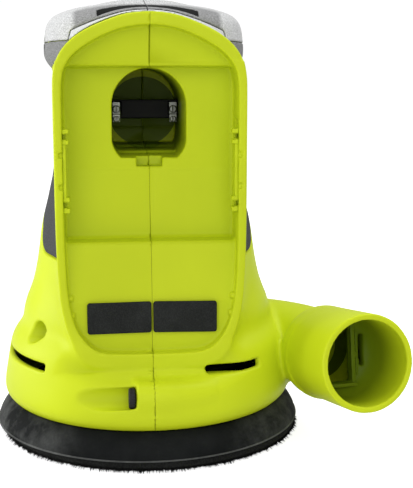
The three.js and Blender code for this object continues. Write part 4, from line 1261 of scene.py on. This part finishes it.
        # Under the air slot the liner rises to 0.3 mm below the surface, a dark sheet standing in for the
        # slot's shade (painted shade).
        under_palm = np.where(self.palm_slot(x, y, z) < 0.5, 0.3, 1.15)
        top = np.where(self.trim_region(x, y, z) < 0.3, 0.95, under_palm)
        form = common(self.layer(x, y, z, top, 2.4), self.parting + 1.0 - z)
        form = np.maximum(form, np.maximum(y - 2, np.abs(x) - 36))
        return self.off_rim(form, x, y, z, 0.12)

    def trim(self, x: Array, y: Array, z: Array) -> Array:
        """Pale trim between the palm grip and the bay's rim."""
        form = common(self.layer(x, y, z, 0.05, 1.05), self.trim_region(x, y, z) + 0.15, 0.2)
        return self.off_rim(form, x, y, z, 0.95)

    def head_grip(self, x: Array, y: Array, z: Array) -> Array:
        """The head's lower grip, with the switch's window and the side holes."""
        below = np.maximum(self.lower_head(x, y, z), z - self.parting + 0.12)
        form = common(self.layer(x, y, z), below, 0.5)
        form = cut(form, block(x, y, z, (-8.5, 53.2, 150.0), (8.5, 80, 164.0), 0.6), 0.3)
        form = np.maximum(form, self.head_form(x, y, z) - 0.45)
        return cut(self.off_rim(form, x, y, z, 0.7), self.side_hole(x, y, z), 0.3)

    def flank_grip(self, x: Array, y: Array, z: Array) -> Array:
        """Side grip under the head."""
        form = common(self.layer(x, y, z), self.flank(x, y, z) + 0.45, 0.7)
        return self.off_rim(form, x, y, z, 0.4)

    def trim_region(self, x: Array, y: Array, z: Array) -> Array:
        """Region of the pale trim, whose upper line is arched like the bay's rim."""
        line = np.interp(np.abs(x), *zip(*self.trim_line))
        ends = np.abs(x) - self.trim_half - 0.27 * np.maximum(165.5 - z, 0)
        return np.maximum(np.maximum(z - line, ends), y + 8)

    def one_side(self, form: Field, side: int) -> Field:
        """The half of a form on one side of the parting plane; side is -1 or 1."""
        def half(x: Array, y: Array, z: Array) -> Array:
            """The form cut by the plane."""
            return common(form(x, y, z), 0.12 - side * x, 0.3)
        return half

    def build_grips(self) -> None:
        """Makes the palm grip, the head's lower grip, the rear trim and the side grips."""
        piece = solid("palm_shade_liner", self.liner, (-38, -42, 160), (38, 4, 181), 0.4)
        install(piece, FINISH.shade, "housing")
        for name, side in (("left", -1), ("right", 1)):
            low, high = ((-43.5, 0.6) if side < 0 else (-0.6, 43.5))
            form = self.one_side(self.palm_grip, side)
            piece = solid(f"palm_grip_{name}", form, (low, -42, 160), (high, 65, 182), 0.5)
            install(piece, FINISH.palm, "housing", [f"top_grip_{name}"])
            form = self.one_side(self.head_grip, side)
            piece = solid(f"head_grip_{name}", form, (low, -38, 143), (high, 66, 162.5), 0.55)
            install(piece, FINISH.low_head, "housing", [f"lower_grip_{name}"])
            form = self.one_side(self.trim, side)
            piece = solid(f"rear_trim_{name}", form, (low, -42, 160), (high, -4, 176), 0.38)
            install(piece, FINISH.trim, "housing")
            low, high = ((-47, -30) if side < 0 else (30, 47))
            piece = solid(f"flank_grip_{name}", self.flank_grip, (low, -46, 72), (high, 30, 146), 0.6)
            install(piece, FINISH.flank, "housing", [f"side_grip_{name}"])


# --------------------------------------------------------------------------- skirt and pad
@dataclass
class SandingPad:
    """Rubber brake skirt, foam pad and hook pile."""

    orbit: float = 1.2
    pad_r: float = 62.5
    sides: int = 360
    hooks: int = 24000
    dust_holes: tuple[float, float] = (32.5, 5.0)
    screw_holes: tuple[float, float] = (13.0, 4.6)

    def skirt(self) -> None:
        """Turns the rubber skirt from a smooth profile with a lip below and a neck in the shell."""
        outer = smooth_line([(63.3, 4.5), (64.2, 4.6), (64.3, 4.9), (63.85, 5.2), (63.75, 5.8), (63.4, 7.2),
                             (62.9, 8.3), (61.7, 10.3), (59.6, 12.7), (58.0, 14.1), (57.1, 14.35)], False, 6)
        inner = np.array([(54.2, 14.3), (54.2, 17), (52.2, 17), (52.2, 13.2), (56.2, 12.0), (58.7, 8.4),
                          (58.4, 5.0), (59.0, 4.6)])
        groove = np.array([(61.8, 4.45), (62.4, 4.45)])
        skirt = turned("brake_rubber", np.vstack([outer, inner, groove]), self.sides)
        install(skirt, FINISH.rubber, "housing", ["brake_skirt"])

    def foam(self) -> None:
        """Turns the foam pad, with a soft rim, and cuts its dust and screw holes."""
        centre = (self.orbit, 0)

        def form(x: Array, y: Array, z: Array) -> Array:
            """The pad's rim, its narrower upper part and the holes."""
            rho = np.sqrt((x - centre[0]) ** 2 + (y - centre[1]) ** 2)
            low = common(rho - self.pad_r, np.abs(z - 2.8) - 1.35, 0.8)
            top = common(rho - 56 + (z - 4) * 0.9, np.abs(z - 5) - 3.0, 0.8)
            return cut(union(low, top, 1.0), self.holes(x, y), 0.5)

        pad = solid("foam_pad", form, (-62.5, -64, 0.9), (65, 64, 8.8), 0.62)
        install(pad, FINISH.pad_foam, "pad", ["pad_foam"])

    def holes(self, x: Array, y: Array) -> Array:
        """Distance to the eight dust holes and the three screw holes, as upright bores."""
        dx = x - self.orbit
        angle = np.arctan2(y, dx)
        rho = np.sqrt(dx * dx + y * y)
        ring, radius = self.dust_holes
        turn = angle % (math.pi / 4) - math.pi / 8
        dust = np.sqrt((rho * np.cos(turn) - ring) ** 2 + (rho * np.sin(turn)) ** 2) - radius
        ring, radius = self.screw_holes
        third = 2 * math.pi / 3
        turn = (angle - math.pi / 2 + third / 2) % third - third / 2
        screw = np.sqrt((rho * np.cos(turn) - ring) ** 2 + (rho * np.sin(turn)) ** 2) - radius
        return np.minimum(dust, screw)

    def pile(self) -> None:
        """Hook layer: a thin backing with thousands of short spikes that lean at random.

        Each spike is a three-sided pyramid whose foot lies on the backing and whose tip is below it or,
        near the rim, below and outside.
        """
        def form(x: Array, y: Array, z: Array) -> Array:
            """The backing, a thin disc with the same holes."""
            rho = np.sqrt((x - self.orbit) ** 2 + y * y)
            return cut(common(rho - self.pad_r + 0.1, np.abs(z - 1.28) - 0.26, 0.2), self.holes(x, y), 0.1)

        backing = solid("hook_backing", form, (-62.5, -64, 0.7), (65, 64, 2.1), 0.6, 60_000)
        install(backing, FINISH.pile, "pad", ["hook_layer"])
        rng = np.random.default_rng(5)
        count = self.hooks
        tuft = rng.random(count) < 0.022
        rim = tuft | (rng.random(count) < 0.6)
        inset = np.where(tuft, rng.random(count) * 1.0, rng.random(count) ** 2 * 3.2)
        radius = np.where(rim, self.pad_r - inset, self.pad_r * np.sqrt(rng.random(count)))
        angle = rng.random(count) * 2 * np.pi
        x, y = self.orbit + radius * np.cos(angle), radius * np.sin(angle)
        keep = self.holes(x, y) > 0.3
        x, y, angle, radius, tuft = x[keep], y[keep], angle[keep], radius[keep], tuft[keep]
        n = len(x)
        at_rim = radius > self.pad_r - 1.2
        outward = np.where(tuft, 0.9 + 1.3 * rng.random(n), np.where(at_rim, 0.3 * rng.random(n), 0))
        lean = rng.normal(0, 0.3, (n, 2)) + outward[:, None] * np.stack([np.cos(angle), np.sin(angle)], 1)
        length = np.where(tuft, 1.1 + rng.random(n) * 0.2, 0.55 + rng.random(n) * 0.4)
        foot = np.stack([x, y, np.full(n, 1.28)], 1)
        tip = foot + np.stack([lean[:, 0], lean[:, 1], -length], 1)
        tip[:, 2] = np.maximum(tip[:, 2], 0.02)
        turn = rng.random(n)[:, None] * 2 * np.pi + np.arange(3) * 2 * np.pi / 3
        width = (0.16 + rng.random(n) * 0.16 + tuft * 0.22)[:, None]
        base = foot[:, None, :] + np.stack([width * np.cos(turn), width * np.sin(turn), 0 * turn], 2)
        points = np.concatenate([base, tip[:, None, :]], 1).reshape(-1, 3)
        first = 4 * np.arange(n)[:, None]
        faces = np.concatenate([first + c for c in ([1, 0, 3], [2, 1, 3], [0, 2, 3], [0, 1, 2])])
        spikes = mesh_object("hook_spikes", points, faces, 180)
        install(spikes, FINISH.pile, "pad")

    def build(self) -> None:
        """Makes the skirt, foam and pile."""
        self.skirt()
        self.foam()
        self.pile()


# --------------------------------------------------------------------------- small fittings
@dataclass
class Fittings:
    """Foam strips, terminal bar, contacts and screws that can be seen."""

    strips: tuple = ((-25, -0.35), (0.35, 25))

    def foam_strips(self) -> None:
        """Two foam strips on the bay's sloped floor, each with soft corners and a slight tilt."""
        for (a, b), name, tilt in zip(self.strips, ("left", "right"), (0.012, -0.012)):
            def form(x: Array, y: Array, z: Array) -> Array:
                """One strip."""
                zz = z - tilt * (x - (a + b) / 2) - 56.0
                flat = block(x, y * 0 - 45.0, zz, (a, -46, -6.1), (b, -44, 6.1), 1.0)
                return common(flat, np.abs(y + 44.75) - 0.75, 0.5)
            strip = solid(f"foam_strip_{name}", form, (a - 1, -46.5, 48.5), (b + 1, -43, 63.5), 0.35)
            install(strip, FINISH.bay_foam, "housing", [f"bay_foam_{name}"])

    def terminals(self) -> None:
        """Terminal bar with a step at each end, two contact plates and their rivets."""
        def bar(x: Array, y: Array, z: Array) -> Array:
            """The bar with a pocket at each end."""
            whole = block(x, y, z, (-14.1, 8, 130.2), (14.1, 14, 138.1), 0.4)
            pocket = block(np.abs(x), y, z, (10.0, 0, 131.5), (13.9, 8.9, 137.4), 0.3)
            return cut(whole, pocket, 0.2)
        obj = solid("terminal_bar", bar, (-14.9, 7, 129), (14.9, 15, 139), 0.3)
        install(obj, FINISH.black, "housing", ["terminal_block"])
        for x0, name, nodes in ((-12.05, "left", (1, 2)), (12.05, "right", (3, 4))):
            def plate(x: Array, y: Array, z: Array) -> Array:
                """One leaf with its lug and two slotted rivets."""
                leaf = block(x, y, z, (x0 - 1.7, 8.2, 131.7), (x0 + 1.7, 9.0, 137.2), 0.2)
                lug = block(x, y, z, (x0 - 1.6, 7.6, 128.6), (x0 + 1.6, 8.3, 132), 0.2)
                form = union(leaf, lug, 0.2)
                for height, r in ((134.1, 1.5), (129.9, 1.25)):
                    gap = np.sqrt((x - x0) ** 2 + (z - height) ** 2)
                    rivet = common(gap - r, np.abs(y - 7.9) - 0.75, 0.5)
                    mark = np.maximum(np.abs(x - x0) - 0.2, y - 7.55)
                    form = np.minimum(form, cut(rivet, mark, 0.1))
                return form
            obj = solid(f"contact_plate_{name}", plate, (x0 - 2.6, 6.6, 127.4), (x0 + 2.6, 9.9, 138), 0.2)
            install(obj, FINISH.tin, "housing", [f"battery_contact_{i}" for i in nodes])

    def screw_heads(self, casing: Casing) -> None:
        """Pan heads with a six-lobed recess and a knurled edge, one for each case screw."""
        for number, (y0, z0, seat) in enumerate(casing.screws, 1):
            def head(x: Array, y: Array, z: Array) -> Array:
                """One screw's head, recess and shank."""
                dy, dz = y - y0, z - z0
                rho = np.sqrt(dy * dy + dz * dz)
                angle = np.arctan2(dz, dy)
                edge = rho - 3.85 - 0.12 * np.cos(24 * angle)
                cap = common(edge, np.abs(x - (seat - 1.6)) - 1.3, 0.9)
                lobe = rho - 1.55 - 0.42 * np.cos(6 * angle)
                cap = cut(cap, np.maximum(lobe, x - (seat - 1.4)), 0.25)
                shank = np.maximum(rho - 1.7, np.abs(x - (seat + 7.5)) - 8)
                return np.minimum(cap, shank)
            low, high = (seat - 3.6, y0 - 4.6, z0 - 4.6), (seat + 16.3, y0 + 4.6, z0 + 4.6)
            obj = solid(f"screw_{number}", head, low, high, 0.27)
            install(obj, FINISH.black_steel, "housing", [f"case_screw_{number}"])

    def build(self, casing: Casing) -> None:
        """Makes every fitting."""
        self.foam_strips()
        self.terminals()
        self.screw_heads(casing)


# --------------------------------------------------------------------------- studio
@dataclass
class Studio:
    """Pale floor, soft white light and the camera."""

    eye: tuple = (-17.97, -421.45, 146.96)
    yaw: float = 0.103
    pitch: float = -0.164
    lens: float = 73.81
    ambient: float = 0.42
    backdrop: float = 1.02

    def camera(self) -> None:
        """Places the camera: its view axis turns by yaw from +Y towards +X and drops by pitch."""
        look = Vector((math.sin(self.yaw) * math.cos(self.pitch), math.cos(self.yaw) * math.cos(self.pitch),
                       math.sin(self.pitch)))
        data = bpy.data.cameras.new("camera")
        data.lens = self.lens
        data.sensor_width = 36.0
        data.clip_start = 0.01
        camera = bpy.data.objects.new("camera", data)
        camera.rotation_euler = look.to_track_quat("-Z", "Y").to_euler()
        camera.location = Vector(self.eye) * MM
        bpy.context.scene.collection.objects.link(camera)
        bpy.context.scene.camera = camera

    def light(self, name: str, place: tuple, target: tuple, size: float, power: float) -> None:
        """Square area light that faces a target.

        Args:
            name: the light's name.
            place: its position, in metres.
            target: the point that it faces, in metres.
            size: length of its side, in metres.
            power: its power, in watts.
        """
        data = bpy.data.lights.new(name, "AREA")
        data.size = size
        data.energy = power
        lamp = bpy.data.objects.new(name, data)
        lamp.location = place
        lamp.rotation_euler = (Vector(target) - Vector(place)).to_track_quat("-Z", "Y").to_euler()
        bpy.context.scene.collection.objects.link(lamp)

    def floor(self) -> None:
        """Wide pale floor."""
        size = 6000.0
        points = [(-size, -size, 0), (size, -size, 0), (size, size, 0), (-size, size, 0)]
        obj = mesh_object("floor", np.array(points), np.array([[0, 1, 2, 3]]), 180)
        n = Nodes("studio_floor")
        seen = n.add("ShaderNodeLightPath", {}, [], "Is Camera Ray")
        n.set(Base_Color=(0.6, 0.6, 0.6), Roughness=0.9, Emission_Strength=1.0,
              Emission_Color=n.mix(seen, (0.1,) * 3, (0.8,) * 3))
        obj.data.materials.append(n.material)

    def build(self) -> None:
        """Makes the floor, the white surroundings, the lights and the camera."""
        self.floor()
        world = bpy.data.worlds.new("surroundings")
        world.use_nodes = True
        graph = Graph(world.node_tree)
        seen = graph.add("ShaderNodeLightPath", {}, [], "Is Camera Ray")
        levels = {"Value": seen, "To Min": self.ambient, "To Max": self.backdrop}
        strength = graph.add("ShaderNodeMapRange", {}, levels)
        graph.feed(world.node_tree.nodes["Background"], {"Color": (1.0, 1.0, 1.0), "Strength": strength})
        bpy.context.scene.world = world
        bpy.context.scene.view_settings.view_transform = "Standard"
        self.light("left_panel", (-0.75, 0.10, 0.28), (0, 0, 0.08), 0.6, 5.0)
        self.light("right_panel", (0.60, 0.05, 0.75), (0, 0, 0.12), 0.6, 3.0)
        self.light("top_panel", (0.0, 0.15, 0.95), (0, 0, 0.1), 0.8, 4.5)
        self.light("front_panel", (-0.25, -1.1, 0.36), (0, 0, 0.09), 1.6, 9.8)
        self.camera()


def dress_frame() -> None:
    """Gives every carried-over node the finish of its record slot."""
    slots = {part["node"]: part["material_slot"] for part in frame["record"]["subparts"]}
    for name, node in frame["nodes"].items():
        node.data.materials.clear()
        node.data.materials.append(SLOT_FINISH[slots[name]])
        LOG.info("%s keeps its shape, finish %s", name, slots[name])


def main() -> None:
    """Builds the model in order."""
    logging.basicConfig(level=logging.INFO, format="%(message)s")
    dress_frame()
    casing = Casing()
    casing.build()
    SandingPad().build()
    Fittings().build(casing)
    Studio().build()


if __name__ == "__main__":
    main()
